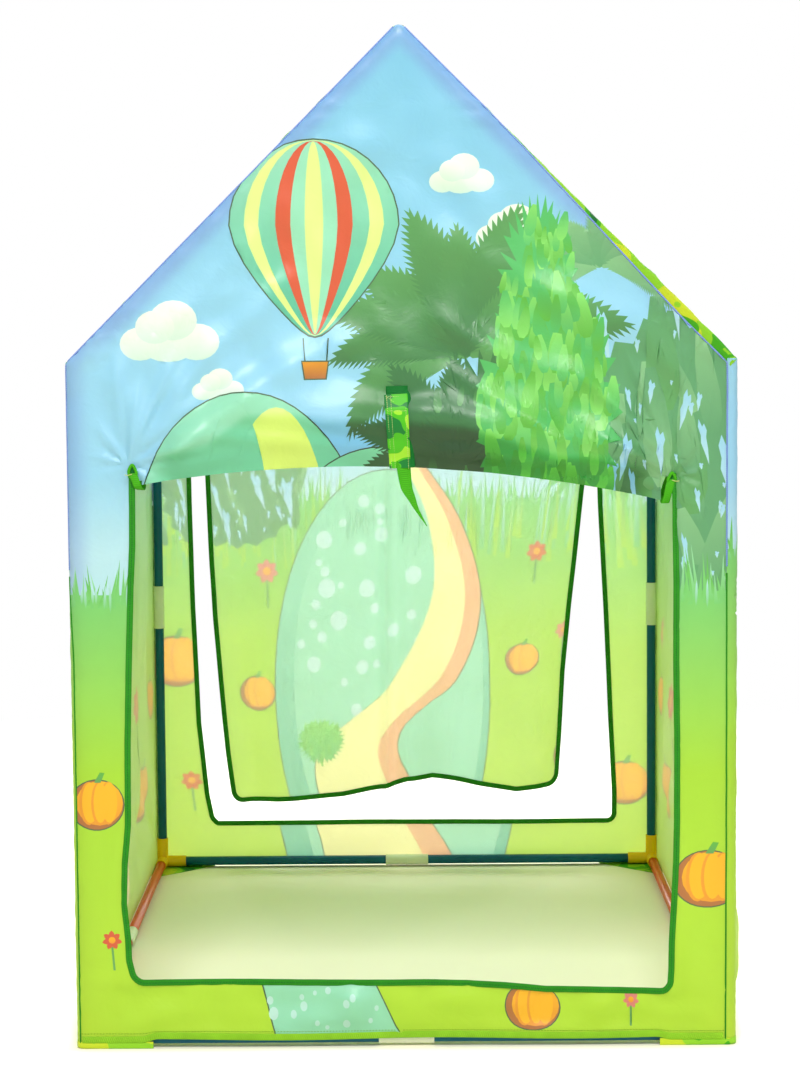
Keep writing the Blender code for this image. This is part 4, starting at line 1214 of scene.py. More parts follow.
def side_walls():
    for name, side in SIDES:
        steps = 70
        heights = [HEM_Z + (EAVE_Z + TURN * math.tan(PITCH / 2) - HEM_Z) * i / steps for i in range(steps + 1)]
        front = [(-(POST_Y + wall_reach(side, z, -1)), z) for z in heights]
        rear = [(POST_Y + wall_reach(side, z, 1), z) for z in heights]
        outline = finely(rear + front[::-1], sizes().grid)
        cut = cut_cloth(outline, (), wall_art(side), WALL_STOPS)
        cloth = hang(f"wall_cloth_{name}", cut, place_wall(side, 40 + 7 * side), (side, 0, 0), pair(CLOTH_PAIR))
        settle(cloth, "tent", "wall_cloth", f"side_wall_{name}")


def roof_cloth():
    steps = 80
    edge = slope_length()
    downs = [edge * (2 * i / steps - 1) for i in range(steps + 1)]

    def front_reach(down):
        side = 1 if down > 0 else -1
        z = RIDGE_Z + TURN / math.cos(PITCH) - abs(down) * math.sin(PITCH)
        return TURN * (QUARTER - front_seam_turn(side, max(z, EAVE_Z + 0.001)))

    front = [(-(POST_Y + front_reach(down)), down) for down in downs]
    rear = [(POST_Y + TURN * (QUARTER - rear_seam_turn(1, 1)), down) for down in downs]
    outline = finely(rear + front[::-1], sizes().grid)
    cut = cut_cloth(outline, spacing=(sizes().grid * 1.3, sizes().grid * 1.3))
    cloth = hang("roof_cloth", cut, place_roof, (0, 0, 1), pair(("roof_camouflage", "roof_reverse")))
    settle(cloth, "tent", "roof_cloth", "roof_left", "roof_right")


def seams():
    """The closed seams along the posts and rafters, and along both eaves."""
    for end, y_side in ENDS:
        turn_of, place = (front_seam_turn, place_front) if y_side < 0 else (rear_seam_turn, place_rear)
        for name, side in SIDES:
            edge = np.array(gable_edge(side, turn_of))
            path = place(edge[:, 0], edge[:, 1])
            out = np.stack([np.full(len(path), 0.7 * side), np.full(len(path), 0.7 * y_side), np.zeros(len(path))], -1)
            out[len(path) // 2 :, 2] = 0.5
            path = evenly(path + unit(out) * 0.0002, 0.007)
            low = path[:, 2] < 0.50
            for part, rows, tape in (("lower", low, "doorway_tape"), ("upper", ~low, "violet_tape")):
                seam = band(f"{end}_seam_{name}_{part}", path[rows], 0.0009, 0.0009, (side, y_side, 0.3), finish(tape), 8, 0.9)
                settle(seam, "tent", "gable_cloth")
    for name, side in SIDES:
        corner = EAVE_Z + TURN * math.tan(PITCH / 2)
        path = [(side * SIDE_X, -FRONT_Y + 0.040 + (2 * FRONT_Y - 0.044) * i / 60, corner) for i in range(61)]
        seam = band(f"eave_seam_{name}", path, 0.0012, 0.0009, (side, 0, 0.4), finish("lime_tape"), 8, 0.9)
        settle(seam, "tent", "roof_cloth")


def hems():
    """The turned-up hem of each gable's lip, with its stitches."""
    for end, y_side in ENDS:
        place, turn_of = (place_front, front_seam_turn) if y_side < 0 else (place_rear, rear_seam_turn)
        left, right = (POST_X + TURN * turn_of(side, HEM_Z) - 0.002 for side in (-1, 1))
        flat = evenly([(-left, HEM_Z + 0.0034), (right, HEM_Z + 0.0034)], 0.006)
        path = place(flat[:, 0], flat[:, 1])
        path[:, 1] += y_side * 0.0004
        hem = band(f"{end}_hem", path, 0.0036, 0.0009, (0, y_side, 0), finish("lime_tape"))
        settle(hem, "tent", "gable_cloth")
        above = place(flat[:, 0], flat[:, 1] + 0.0058)
        row = stitches(f"{end}_hem_stitches", above, (0, y_side, 0), 0.0004, finish("lime_tape"))
        settle(row, "tent", "gable_cloth")


def corner_pockets():
    """The four pockets of the cover that hold the frame's lower corners: a floor triangle with turned-up edges."""
    leg, rise, ground = 0.080, 0.0072, 0.0004
    for end, y_side in ENDS:
        for name, side in SIDES:
            out_x, out_y, bend = SIDE_X + 0.0004, FRONT_Y + 0.0004, TURN
            path = [(out_x, FRONT_Y - leg * (1 - i / 8)) for i in range(8)]
            path += [(out_x - bend + bend * math.cos(a), out_y - bend + bend * math.sin(a))
                     for a in (QUARTER * i / 6 for i in range(7))]
            path += [(SIDE_X - bend - (leg - bend) * i / 8, out_y) for i in range(1, 9)]
            (first, last), count = (path[0], path[-1]), len(path)
            spots = []
            for i, (x, y) in enumerate(path):
                share = i / (count - 1)
                far = (first[0] + (last[0] - first[0]) * share, first[1] + (last[1] - first[1]) * share)
                inner = (x + (far[0] - x) * 0.02, y + (far[1] - y) * 0.02)
                column = [(x, y, rise), (x, y, rise * 0.5), (x, y, ground * 3), (*inner, ground)]
                column += [(inner[0] + (far[0] - inner[0]) * k / 6, inner[1] + (far[1] - inner[1]) * k / 6, ground)
                           for k in range(1, 7)]
                spots += column
            rows = len(spots) // count
            faces = [(i * rows + k, (i + 1) * rows + k, (i + 1) * rows + k + 1, i * rows + k + 1)
                     for i in range(count - 1) for k in range(rows - 1)]
            if side * y_side > 0:
                faces = [face[::-1] for face in faces]
            spots = [(side * x, y_side * y, z) for x, y, z in spots]
            pocket = add_mesh(f"corner_pocket_{end}_{name}", spots, faces, pair(("pocket_camouflage",)))
            thicken(pocket, CLOTH, 0)
            settle(pocket, "tent", "wall_cloth")


def roll_centre(x):
    share = roll_share(x)
    return header_height(x) + 0.001 + 0.021 * share


def roll_share(x):
    """The roll's size at x, drawn in at the ties and under the strap."""
    return 1 - 0.30 * (hump(-ROLL_HALF, 0.03, x) + hump(0, 0.03, x) + hump(ROLL_HALF, 0.03, x))


def rolled_door():
    """The rolled front door as one spiral sheet, printed side out, from its outer turn to its core."""
    turns, outer, inner, long = 6.5, 1.0, 0.30, 0.50

    def angle_of(down):
        """The turn at a distance down the door, from the spiral's even rate."""
        share = np.clip(down / long, 0, 1)
        total = turns * math.tau
        return total * (outer - np.sqrt(outer**2 - share * (outer**2 - inner**2))) / (outer - inner)

    def place(x, z):
        down = DOOR_TOP - z
        angle = angle_of(down)
        size = (outer + (inner - outer) * angle / (turns * math.tau)) * roll_share(x)
        size = size * (1 + 0.025 * unevenness(x, angle * 0.01, 0.05, 51))
        start = angle - 0.35
        y = ROLL_Y - 0.0036 - 0.0150 * size * np.cos(start)
        rise = roll_centre(x) - 0.0203 * size * np.sin(start)
        return np.stack([x, y, rise], -1)

    outline = [(-ROLL_HALF, DOOR_TOP - long), (ROLL_HALF, DOOR_TOP - long), (ROLL_HALF, DOOR_TOP), (-ROLL_HALF, DOOR_TOP)]
    cut = cut_cloth(finely(outline, 0.003), (), front_art(), SKY_STOPS, (0.009, 0.0032))
    points = cut[0]
    spots = place(points[:, 0], points[:, 1])
    outward = np.stack([spots[:, 0] * 0, spots[:, 1] - ROLL_Y, spots[:, 2] - roll_centre(points[:, 0])], -1)
    door = hang("rolled_front_door", cut, place, outward, pair(CLOTH_PAIR), CLOTH * 0.8)
    settle(door, "front_door", "door_cloth", "front_door_roll")


def door_curtain():
    """The door's top, which pays out to the whole hanging door when the roll is let down.

    Its print is cut for the hanging door, and each row is moved up to where it lies while the door is rolled.
    """
    fall = abs(frame["joints"][0]["range_m"][1])
    high = CURTAIN_TOP - CURTAIN_FOOT
    shares = np.linspace(0, 1, 4001)
    hanging = CURTAIN_TOP - high * shares - fall * shares**2 * (3 - 2 * shares)

    def place(x, z):
        share = np.interp(-z, -hanging, shares)
        y = middle("front_door_curtain").y + 0.0005 * np.sin(x * 40) * share * (1 - share)
        return np.stack([x, y + 0 * x, CURTAIN_TOP - high * share], -1)

    low = hanging[-1]
    outline = [(-ROLL_HALF, low), (ROLL_HALF, low), (ROLL_HALF, CURTAIN_TOP), (-ROLL_HALF, CURTAIN_TOP)]
    cut = cut_cloth(finely(outline, 0.006), (), front_art(), SKY_STOPS, (0.008, 0.006))
    curtain = hang("front_door_top", cut, place, (0, -1, 0), pair(CLOTH_PAIR), CLOTH * 0.6)
    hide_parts("front_door_curtain")
    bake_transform(curtain)


# The hanging rear door's left and right edges against height, and its hem against x
FLAP_HEIGHTS = (0.088, 0.17, 0.26, 0.35, 0.42, 0.53, 0.60)
FLAP_LEFTS = (-0.236, -0.247, -0.255, -0.262, -0.266, -0.270, -0.272)
FLAP_RIGHTS = (0.206, 0.212, 0.217, 0.226, 0.234, 0.246, 0.258)
FLAP_HEM_PLACES = (-0.24, -0.178, -0.087, -0.030, 0.000, 0.035, 0.096, 0.150, 0.21)
FLAP_HEM_HEIGHTS = (0.088, 0.092, 0.098, 0.108, 0.120, 0.124, 0.112, 0.104, 0.113)
FLAP_CREASE_X = -0.026


def place_flap(x, z):
    """The hanging rear door: its width draws in downwards, its hem lifts, and three soft folds grow with the drop."""
    half, foot = DOOR_HALF - 0.006, DOOR_LIP + 0.006
    across = (x + half) / (2 * half)
    down = np.clip((DOOR_TOP - z) / (DOOR_TOP - foot), 0, 1)
    guess = DOOR_TOP - down * (DOOR_TOP - 0.10)
    left, right = np.interp(guess, FLAP_HEIGHTS, FLAP_LEFTS), np.interp(guess, FLAP_HEIGHTS, FLAP_RIGHTS)
    hung_x = left + (right - left) * across
    hem = np.interp(hung_x, FLAP_HEM_PLACES, FLAP_HEM_HEIGHTS)
    hung_z = DOOR_TOP - 0.0006 - down * (DOOR_TOP - 0.0006 - hem)
    fold = np.sin(math.tau * 3 * across + 0.6) + 0.45 * np.sin(1.65 * math.tau * 3 * across)
    crease = -1.3 * hump(FLAP_CREASE_X, 0.006, hung_x) + 0.8 * hump(FLAP_CREASE_X + 0.016, 0.010, hung_x)
    soft = 0.0012 * unevenness(x, z, 0.09, 61)
    drop = down**1.3
    y = (sizes().flap_fold * fold - 0.008) * drop + (0.0035 * crease + soft) * fade(0, 0.25, down)
    return np.stack([hung_x, middle("rear_panel").y + y, hung_z], -1)


def rear_door():
    half, foot, top = DOOR_HALF - 0.006, DOOR_LIP + 0.006, DOOR_TOP - 0.0006
    bend = 0.014
    edge = [(-half, top)] + arc((-half + bend, foot + bend), bend, 180, 270)
    edge += arc((half - bend, foot + bend), bend, 270, 360) + [(half, top)]
    cut = cut_cloth(finely(edge, sizes().grid), (), rear_art(), SKY_STOPS, None, [(-0.06, foot, 0.02, top, sizes().fine_grid)])
    cloth = hang("rear_door_cloth", cut, place_flap, (0, 1, 0), pair(REAR_PAIR))
    settle(cloth, "rear_door", "door_cloth", "rear_door_flap")
    tucked = [(x * (half - 0.0026) / half, max(z, foot) + (0.0026 if z < foot + bend else 0)) for x, z in edge]
    tucked[0], tucked[-1] = (tucked[0][0], top - 0.004), (tucked[-1][0], top - 0.004)
    trims = swept_binding("rear_door_binding", tucked, place_flap, (0, 1, 0), "rear_door", "tie_ribbon")


def header_face(x, z):
    """The front face of the header in front of (x, z)."""
    return float(place_front(np.array([x]), np.array([z]))[0, 1]) - CLOTH / 2


def sew_on(piece, *nodes):
    """Puts a piece on the strap. Its sewn top stays on the tent, and it bends over just below that when it is lifted."""
    if nodes:
        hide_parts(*nodes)
    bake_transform(piece)


def middle_strap():
    """The strap that hangs over the header, from its sewn end to its free pointed tail."""
    top, foot = STRAP_TOP, header_height(0) - 0.001
    steps = [i / 16 for i in range(17)]
    lean = lambda share: -0.0059 + 0.0039 * share
    half = lambda share: 0.0121 - 0.0012 * share

    def lying(across, gap, start=0.0, end=1.0):
        """A line down the strap at a share of its half width, that far in front of the header."""
        line = []
        for step in steps:
            share = start + (end - start) * step
            z = top - (top - foot) * share
            line.append((lean(share) + across * half(share), header_face(0, max(z, foot + 0.006)) - gap, z))
        return evenly(curve_through(line, 3), 0.002)

    rows = lying(0, 0.0021)
    share = (top - rows[:, 2]) / (top - foot)
    strap = band("strap_webbing", rows, half(share), 0.0007, (0, -1, 0), finish("strap_camouflage"), 14, 0.3)
    sew_on(strap, "middle_strap")
    # A dark green sheet behind the strap: above the strap's top it is its folded root, and where it stands out along
    # the strap's right edge it is a painted shadow
    under = [(lean(0) + 0.001, header_face(0, top + 0.0085) - 0.0007, top + 0.0085), (lean(0) + 0.0012, header_face(0, top) - 0.0009, top)]
    under += [(x + 0.0042, y + 0.0011, z) for x, y, z in lying(0, 0.0021, 0.05)]
    layer = band("strap_under_layer", evenly(under, 0.002), 0.0112, 0.0005, (0, -1, 0), finish("thread_green"), 14, 0.3)
    sew_on(layer)
    lowest = rows[-1]
    tail = [(0.0014, 0.0012, 0.007), (0.0016, 0.0006, 0.0), (0.0043, -0.0008, -0.019), (0.0096, -0.0014, -0.031),
            (0.0151, -0.0012, -0.043), (0.0251, 0.0002, -0.060)]
    tail = evenly(curve_through([(x, lowest[1] + y, foot + z) for x, y, z in tail], 6), 0.002)
    width = np.interp(tail[:, 2] - foot, (-0.060, -0.043, -0.031, -0.019, 0.0, 0.007), (0.0003, 0.0021, 0.0041, 0.0062, 0.0074, 0.0074))
    tail = band("strap_tail", tail, width, 0.0006, (0.25, -1, 0), finish("bright_tape"), 14, 0.4)
    settle(tail, "strap", "strap_cloth")
    for name, across in (("left", -0.78), ("middle", -0.45), ("right", 0.80)):
        line = stitches(f"strap_stitches_{name}", lying(across, 0.0021, 0.02), (0, -1, 0), 0.0007, finish("pale_thread"), 0.0024, 0.00022)
        sew_on(line)
    square = [(-0.8, 0.03), (0.8, 0.03), (0.8, 0.22), (-0.8, 0.22), (-0.8, 0.03), (0.8, 0.22)]
    corners = []
    for across, share in square:
        z = top - (top - foot) * share
        corners.append((lean(share) + across * half(share), header_face(0, z) - 0.0021, z))
    patch = stitches("strap_patch", evenly(corners, 0.002), (0, -1, 0), 0.0007, finish("pale_thread"), 0.0024, 0.00026)
    sew_on(patch)


# Each tie's knot, and the top and foot of its ribbon in front of the roll, as (x, z)
TIE_PLACES = {
    "left": ((-0.2763, 0.6118), (-0.2756, 0.6025), (-0.2706, 0.5888)),
    "right": ((0.2772, 0.5990), (0.2762, 0.5915), (0.2716, 0.5712)),
}


def side_ties():
    """The ribbons at the doorway's top corners: a small knotted loop, and a band round an end of the rolled door."""
    face = -(FRONT_Y + 0.0030)
    for name, side in SIDES:
        (knot_x, knot_z), (top_x, top_z), (foot_x, foot_z) = TIE_PLACES[name]
        core_y, core_z = (face + ROLL_Y + 0.014) / 2, (top_z + foot_z) / 2
        back = ROLL_Y + 0.0150
        fronts = ((top_x, top_z), ((top_x + foot_x) / 2, core_z), (foot_x, foot_z), (knot_x, knot_z - 0.005))
        face = min(header_face(x, z) for x, z in fronts) - 0.0006
        ring = [(top_x, face - 0.0010, top_z), ((top_x + foot_x) / 2, face - 0.0022, core_z), (foot_x, face - 0.0008, foot_z)]
        ring += [(foot_x - side * 0.001, core_y - 0.006, foot_z - 0.0035), (foot_x - side * 0.001, core_y + 0.006, foot_z - 0.0025),
                 (foot_x, back, foot_z + 0.004), (top_x, back, top_z - 0.002), (top_x, core_y, top_z + 0.0035)]
        path = evenly(curve_through([*ring, ring[0]], 8), 0.0013)[:-1]
        outward = np.stack([path[:, 0] * 0 + side * 0.001, path[:, 1] - core_y, (path[:, 2] - core_z) * 1.4], -1)
        ribbon = band(f"tie_ribbon_{name}", path, 0.0041, 0.0005, unit(outward), finish("bright_tape"), 10, 0.4, closed=True)
        settle(ribbon, "tent", "tie_ribbon", f"tie_{name}")
        loop = [(top_x + side * 0.0036, face - 0.0004, top_z - 0.004), (knot_x + side * 0.0036, face - 0.0016, knot_z - 0.006),
                (knot_x, face - 0.0020, knot_z), (knot_x - side * 0.0036, face - 0.0016, knot_z - 0.006),
                (top_x - side * 0.0034, face - 0.0012, top_z - 0.001)]
        cord = band(f"tie_loop_{name}", evenly(curve_through(loop, 8), 0.001), 0.0016, 0.0009, (0, -1, 0), finish("bright_tape"), 8, 0.8)
        settle(cord, "tent", "tie_ribbon")
        # A dark green strip behind the knot's loop: painted shade in the loop's opening
        hole = [(knot_x, face + 0.0002, knot_z - 0.002), (knot_x, face + 0.0002, knot_z - 0.0095)]
        inside = band(f"tie_inside_{name}", evenly(hole, 0.0012), 0.0030, 0.0006, (0, -1, 0), finish("thread_green"), 8, 0.8)
        settle(inside, "tent", "tie_ribbon")
        end = [(top_x + side * 0.001, face - 0.0022, top_z), (top_x + side * 0.005, face - 0.0030, top_z - 0.0012),
               (top_x + side * 0.0085, face - 0.0024, top_z - 0.0008)]
        thread = band(f"tie_thread_{name}", evenly(curve_through(end, 5), 0.001), 0.0004, 0.0004, (0, -1, 0), finish("pale_thread"), 6, 1)
        settle(thread, "tent", "tie_ribbon")


# The frame of tubes


def axis_of(node):
    """Which way a tube or coupler runs."""
    if node.startswith("rafter"):
        return Vector((math.cos(PITCH) * (1 if "left" in node else -1), 0, math.sin(PITCH)))
    if node.startswith("post"):
        return Vector((0, 0, 1))
    return Vector((1, 0, 0)) if node.startswith("sill") else Vector((0, 1, 0))


def run_of(node):
    """A tube's length along its axis, from the spread of its own points."""
    axis = np.array(axis_of(node))
    spots = np.array([tuple(vertex.co) for vertex in frame["nodes"][node].data.vertices]) @ axis
    return float(spots.max() - spots.min())


def pipe(name, centre, axis, radius, wall, long, rounding, material):
    """An open cylinder given its wall inwards, with rounded rims."""
    bpy.ops.object.select_all(action="DESELECT")
    turn = axis.to_track_quat("Z", "Y").to_euler()
    bpy.ops.mesh.primitive_cylinder_add(
        vertices=40, radius=radius, depth=long, end_fill_type="NOTHING", location=centre, rotation=turn
    )
    piece = bpy.context.object
    piece.name = piece.data.name = name
    skin = piece.modifiers.new("wall", "SOLIDIFY")
    skin.thickness = wall
    skin.offset = -1
    rim = piece.modifiers.new("rims", "BEVEL")
    rim.width = rounding
    rim.segments = 3
    rim.limit_method = "ANGLE"
    rim.angle_limit = math.radians(50)
    for modifier in list(piece.modifiers):
        bpy.ops.object.modifier_apply(modifier=modifier.name)
    bpy.ops.object.transform_apply(location=True, rotation=True, scale=True)
    bpy.ops.object.shade_smooth_by_angle(angle=math.radians(40))
    piece.data.materials.append(finish(material))
    return piece


def tubes():
    for node in sorted(frame["nodes"]):
        kind = node.split("_")[0]
        if kind not in ("post", "sill", "rafter", "base", "eave", "ridge") or node.endswith("coupler"):
            continue
        if "corner" in node or "joint" in node:
            continue
        blue = kind in ("post", "sill")
        made = pipe(f"{node}_tube", middle(node), axis_of(node), TUBE, 0.001, run_of(node), 0.0003,
                    "blue_polypropylene" if blue else "orange_polypropylene")
        settle(made, "tent", "blue_tube" if blue else "orange_tube", node)


def couplers():
    """The milky sleeves: each has a wider lip at both mouths and a stop ridge round its middle."""
    for node in sorted(frame["nodes"]):
        if not node.endswith("coupler"):
            continue
        axis, centre, long = axis_of(node), middle(node), run_of(node)
        sleeve = pipe(f"{node}_sleeve", centre, axis, TUBE + 0.0011, 0.0008, long, 0.0003, "milky_polypropylene")
        rings = []
        for place, wide in ((-long / 2 + 0.0012, 0.0022), (0, 0.0026), (long / 2 - 0.0012, 0.0022)):
            rings.append(pipe("ring", centre + axis * place, axis, TUBE + 0.0014, 0.0004, wide, 0.00012, "milky_polypropylene"))
        join(sleeve, rings)
        settle(sleeve, "tent", "coupler", node)


def join(piece, others):
    bpy.ops.object.select_all(action="DESELECT")
    for other in others:
        other.select_set(True)
    piece.select_set(True)
    bpy.context.view_layer.objects.active = piece
    bpy.ops.object.join()


def rod(centre, axis, start, end, radius, vertices=40):
    bpy.ops.object.select_all(action="DESELECT")
    turn = axis.to_track_quat("Z", "Y").to_euler()
    bpy.ops.mesh.primitive_cylinder_add(
        vertices=vertices, radius=radius, depth=end - start, location=centre + axis * (start + end) / 2, rotation=turn
    )
    return bpy.context.object


def moulded_corner(node, centre, arms, floors):
    """A corner moulding: arms joined to a round knuckle, bored for the tubes, with every edge rounded."""
    shell = TUBE + 0.0015
    bpy.ops.object.select_all(action="DESELECT")
    bpy.ops.mesh.primitive_uv_sphere_add(segments=40, ring_count=20, radius=TUBE + 0.0021, location=centre)
    piece = bpy.context.object
    piece.name = piece.data.name = f"{node}_moulding"
    tools = [(rod(centre, arm, -0.001, SOCKET_MOUTH + floor, shell), "UNION") for arm, floor in zip(arms, floors)]
    tools += [(rod(centre, arm, 0.010 + floor, SOCKET_MOUTH + floor + 0.004, TUBE + 0.0003), "DIFFERENCE")
              for arm, floor in zip(arms, floors)]
    for tool, operation in tools:
        cut = piece.modifiers.new("cut", "BOOLEAN")
        cut.operation = operation
        cut.object = tool
    edge = piece.modifiers.new("edges", "BEVEL")
    edge.width = 0.00035
    edge.segments = 2
    edge.limit_method = "ANGLE"
    edge.angle_limit = math.radians(35)
    select_only(piece)
    for modifier in list(piece.modifiers):
        bpy.ops.object.modifier_apply(modifier=modifier.name)
    for tool, _ in tools:
        bpy.data.objects.remove(tool, do_unlink=True)
    bpy.ops.object.transform_apply(location=True, rotation=True, scale=True)
    bpy.ops.object.shade_smooth_by_angle(angle=math.radians(32))
    piece.data.materials.append(finish("yellow_polypropylene"))
    settle(piece, "tent", "connector", node)


def corner_mouldings():
    up = Vector((0, 0, 1))
    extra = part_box("ridge_joint_front")[1].x
    rafter_floor = max(0.0, extra / math.cos(PITCH) - SOCKET_MOUTH - (TUBE + 0.0015) * math.tan(PITCH))
    for end, y_side in ENDS:
        inwards, y = Vector((0, -y_side, 0)), y_side * POST_Y
        slopes = [Vector((-side * math.cos(PITCH), 0, math.sin(PITCH))) for _, side in SIDES]
        for (name, side), slope in zip(SIDES, slopes):
            across = Vector((-side, 0, 0))
            moulded_corner(f"base_corner_{end}_{name}", Vector((side * POST_X, y, BASE_Z)), [up, across, inwards], [0, 0, 0])
            moulded_corner(f"eave_corner_{end}_{name}", Vector((side * POST_X, y, EAVE_Z)), [-up, inwards, slope],
                           [0, 0, rafter_floor])
        moulded_corner(f"ridge_joint_{end}", Vector((0, y, RIDGE_Z)), [-slopes[0], -slopes[1], inwards],
                       [rafter_floor, rafter_floor, 0])


# The stage

CAMERA_PLACE = (0.0077, -3.305, 0.783)
CAMERA_PITCH = math.radians(-4.92)
CAMERA_YAW = math.radians(0.21)
CAMERA_ROLL = math.radians(-0.45)
CAMERA_LENS = 93.47


def stage():
    bpy.ops.object.select_all(action="DESELECT")
    bpy.ops.mesh.primitive_plane_add(size=14, location=(0, 0, -0.0002))
    floor = bpy.context.object
    floor.name = "studio_floor"
    surface, tree = blank("studio_floor")
    seen = add(tree, "ShaderNodeLightPath").outputs["Is Camera Ray"]
    place = add(tree, "ShaderNodeTexCoord").outputs["Object"]
    beside = add(tree, "ShaderNodeVectorMath", {0: place}, operation="ABSOLUTE").outputs[0]
    beside = add(tree, "ShaderNodeVectorMath", {0: beside, 1: (SIDE_X, FRONT_Y, 1)}, operation="SUBTRACT").outputs[0]
    beside = add(tree, "ShaderNodeVectorMath", {0: beside, 1: (0, 0, 0)}, operation="MAXIMUM").outputs[0]
    away = add(tree, "ShaderNodeVectorMath", {0: beside}, operation="LENGTH").outputs["Value"]
    lift = add(tree, "ShaderNodeMapRange", {"Value": away, "From Min": 0.0, "From Max": 0.02, "To Min": 0.0, "To Max": 0.42})
    far = add(tree, "ShaderNodeMapRange", {"Value": away, "From Min": 0.3, "From Max": 1.4, "To Min": 0.0, "To Max": 1.0})
    matt = add(tree, "ShaderNodeBsdfDiffuse", {"Color": (*tone("floor"), 1)})
    glow = add(tree, "ShaderNodeEmission", {"Color": (1, 1, 1, 1), "Strength": lift.outputs[0]})
    near = add(tree, "ShaderNodeAddShader", {0: matt.outputs[0], 1: glow.outputs[0]})
    white = add(tree, "ShaderNodeEmission", {"Color": (1, 1, 1, 1), "Strength": 1.0})
    lifted = add(tree, "ShaderNodeMixShader", {"Fac": far.outputs[0], 1: near.outputs[0], 2: white.outputs[0]})
    both = add(tree, "ShaderNodeMixShader", {"Fac": seen, 1: matt.outputs[0], 2: lifted.outputs[0]})
    add(tree, "ShaderNodeOutputMaterial", {"Surface": both.outputs[0]})
    floor.data.materials.append(surface)

    scene = bpy.context.scene
    world = bpy.data.worlds.new("studio")
    scene.world = world
    world.use_nodes = True
    tree = world.node_tree
    tree.nodes.clear()
    path = add(tree, "ShaderNodeLightPath")
    seen = add(tree, "ShaderNodeMath", {0: path.outputs["Is Camera Ray"], 1: path.outputs["Is Glossy Ray"]}, operation="MAXIMUM")
    seen = add(tree, "ShaderNodeMath", {0: seen.outputs[0], 1: path.outputs["Is Transmission Ray"]}, operation="MAXIMUM")
    soft = add(tree, "ShaderNodeBackground", {"Color": (1, 1, 1, 1), "Strength": 0.50})
    white = add(tree, "ShaderNodeBackground", {"Color": (1, 1, 1, 1), "Strength": 1.0})
    both = add(tree, "ShaderNodeMixShader", {"Fac": seen.outputs[0], 1: soft.outputs[0], 2: white.outputs[0]})
    add(tree, "ShaderNodeOutputWorld", {"Surface": both.outputs[0]})

    for name, place, size, power in (
        ("key_softbox", (-0.1, -2.7, 3.1), 1.0, 98),
        ("fill_softbox", (2.2, -2.2, 1.2), 2.0, 5),
        ("top_softbox", (0.2, 0.5, 3.2), 2.0, 70),
        ("rear_softbox", (0.3, 2.8, 1.4), 2.4, 87),
    ):
        bpy.ops.object.light_add(type="AREA", location=place)
        lamp = bpy.context.object
        lamp.name = name
        lamp.data.size, lamp.data.energy = size, power
        lamp.rotation_euler = (Vector((0, 0, 0.55)) - Vector(place)).to_track_quat("-Z", "Y").to_euler()

    bpy.ops.object.camera_add(location=CAMERA_PLACE)
    camera = bpy.context.object
    camera.name = "camera"
    camera.data.lens = CAMERA_LENS
    camera.data.sensor_width = 36
    level = Vector((math.cos(CAMERA_YAW), math.sin(CAMERA_YAW), 0))
    ahead = Vector((-math.sin(CAMERA_YAW) * math.cos(CAMERA_PITCH), math.cos(CAMERA_YAW) * math.cos(CAMERA_PITCH),
                    math.sin(CAMERA_PITCH)))
    above = level.cross(ahead)
    right = level * math.cos(CAMERA_ROLL) + above * math.sin(CAMERA_ROLL)
    top = above * math.cos(CAMERA_ROLL) - level * math.sin(CAMERA_ROLL)
    camera.rotation_mode = "QUATERNION"
    rows = [[right[i], top[i], -ahead[i]] for i in range(3)]
    camera.rotation_quaternion = matrix_of(rows).to_quaternion()
    scene.camera = camera
    scene.view_settings.view_transform = "Standard"


def matrix_of(rows):
    from mathutils import Matrix

    return Matrix(rows)


# The add-on


def operator(idname, label, text, build):
    """An operator class that runs the build functions of one piece or group of pieces."""

    def execute(self, context):
        for step in build:
            step()
        return {"FINISHED"}

    name = "PLAYTENT_OT_" + idname.split(".")[1]
    return type(name, (Operator,), {"__doc__": text, "bl_idname": idname, "bl_label": label,
                                    "bl_options": {"REGISTER", "UNDO"}, "execute": execute})


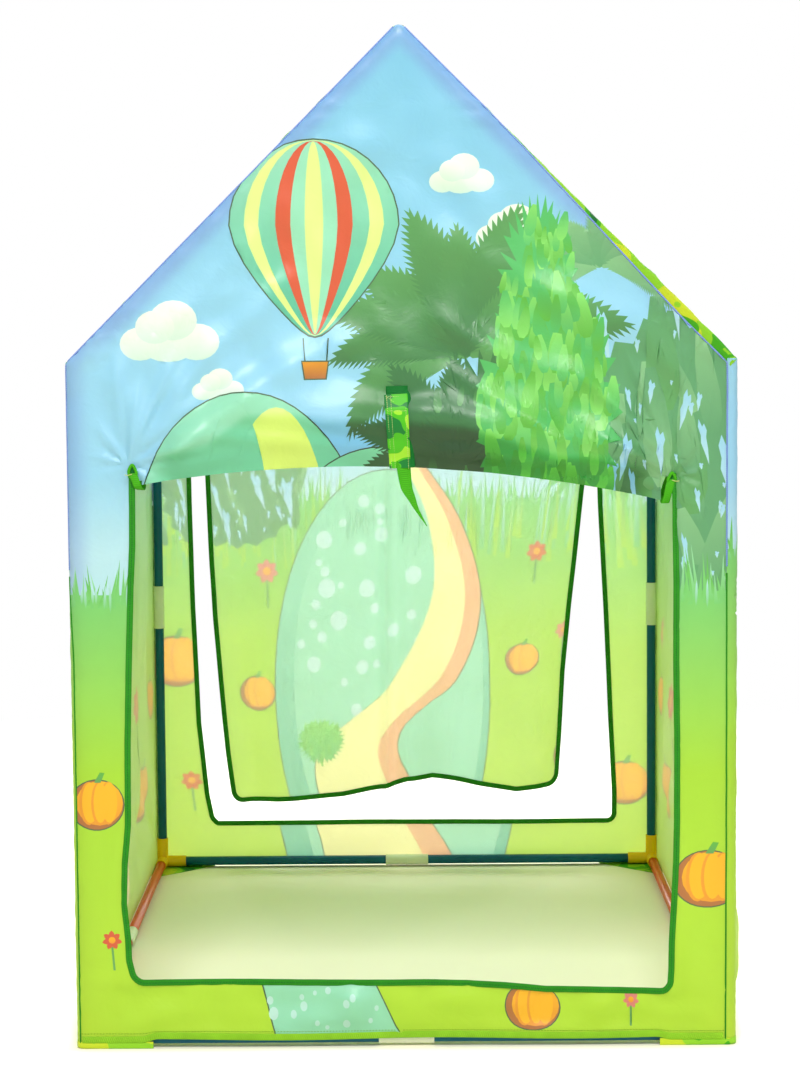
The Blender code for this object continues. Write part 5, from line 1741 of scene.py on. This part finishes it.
OPERATORS = (
    operator("playtent.stage", "Stage", "Add the floor, lights and camera", (stage,)),
    operator("playtent.tubes", "Tubes", "Model the posts, sills, rails and rafters", (tubes,)),
    operator("playtent.couplers", "Couplers", "Model the sleeves between two tubes", (couplers,)),
    operator("playtent.corners", "Corner Mouldings", "Model the push-fit corner mouldings", (corner_mouldings,)),
    operator("playtent.front", "Front Cloth", "Cut, print and hang the front gable", (front_cloth,)),
    operator("playtent.rear", "Rear Cloth", "Cut, print and hang the rear gable", (rear_cloth,)),
    operator("playtent.walls", "Side Walls", "Cut, print and hang both side walls", (side_walls,)),
    operator("playtent.roof", "Roof", "Hang the roof over the ridge", (roof_cloth,)),
    operator("playtent.pockets", "Corner Pockets", "Add the four corner pockets", (corner_pockets,)),
    operator("playtent.seams", "Seams and Hems", "Add the seams, hems and their stitches", (seams, hems)),
    operator("playtent.front_door", "Front Door", "Roll up the front door", (rolled_door, door_curtain)),
    operator("playtent.rear_door", "Rear Door", "Hang the rear door in its doorway", (rear_door,)),
    operator("playtent.fastenings", "Strap and Ties", "Add the middle strap and the side ties", (middle_strap, side_ties)),
)


class PLAYTENT_PT_sidebar(Panel):
    """Lists the tent's pieces, sizes and colours"""

    bl_idname = "PLAYTENT_PT_sidebar"
    bl_label = "Play Tent"
    bl_space_type = "VIEW_3D"
    bl_region_type = "UI"
    bl_category = "Play Tent"

    def draw(self, context):
        layout = self.layout
        for one in OPERATORS:
            layout.operator(one.bl_idname)
        for group in (context.scene.play_tent_sizes, context.scene.play_tent_colours):
            box = layout.box()
            for key in group.bl_rna.properties.keys():
                if key not in ("rna_type", "name"):
                    box.prop(group, key)


CLASSES = (PlayTentSizes, PlayTentColours, *OPERATORS, PLAYTENT_PT_sidebar)


def register():
    for one in CLASSES:
        bpy.utils.register_class(one)
    bpy.types.Scene.play_tent_sizes = PointerProperty(type=PlayTentSizes)
    bpy.types.Scene.play_tent_colours = PointerProperty(type=PlayTentColours)


def unregister():
    del bpy.types.Scene.play_tent_colours
    del bpy.types.Scene.play_tent_sizes
    for one in reversed(CLASSES):
        bpy.utils.unregister_class(one)


def main():
    register()
    bpy.ops.object.select_all(action="DESELECT")
    for one in OPERATORS:
        group, name = one.bl_idname.split(".")
        getattr(getattr(bpy.ops, group), name)()


if __name__ == "__main__":
    main()
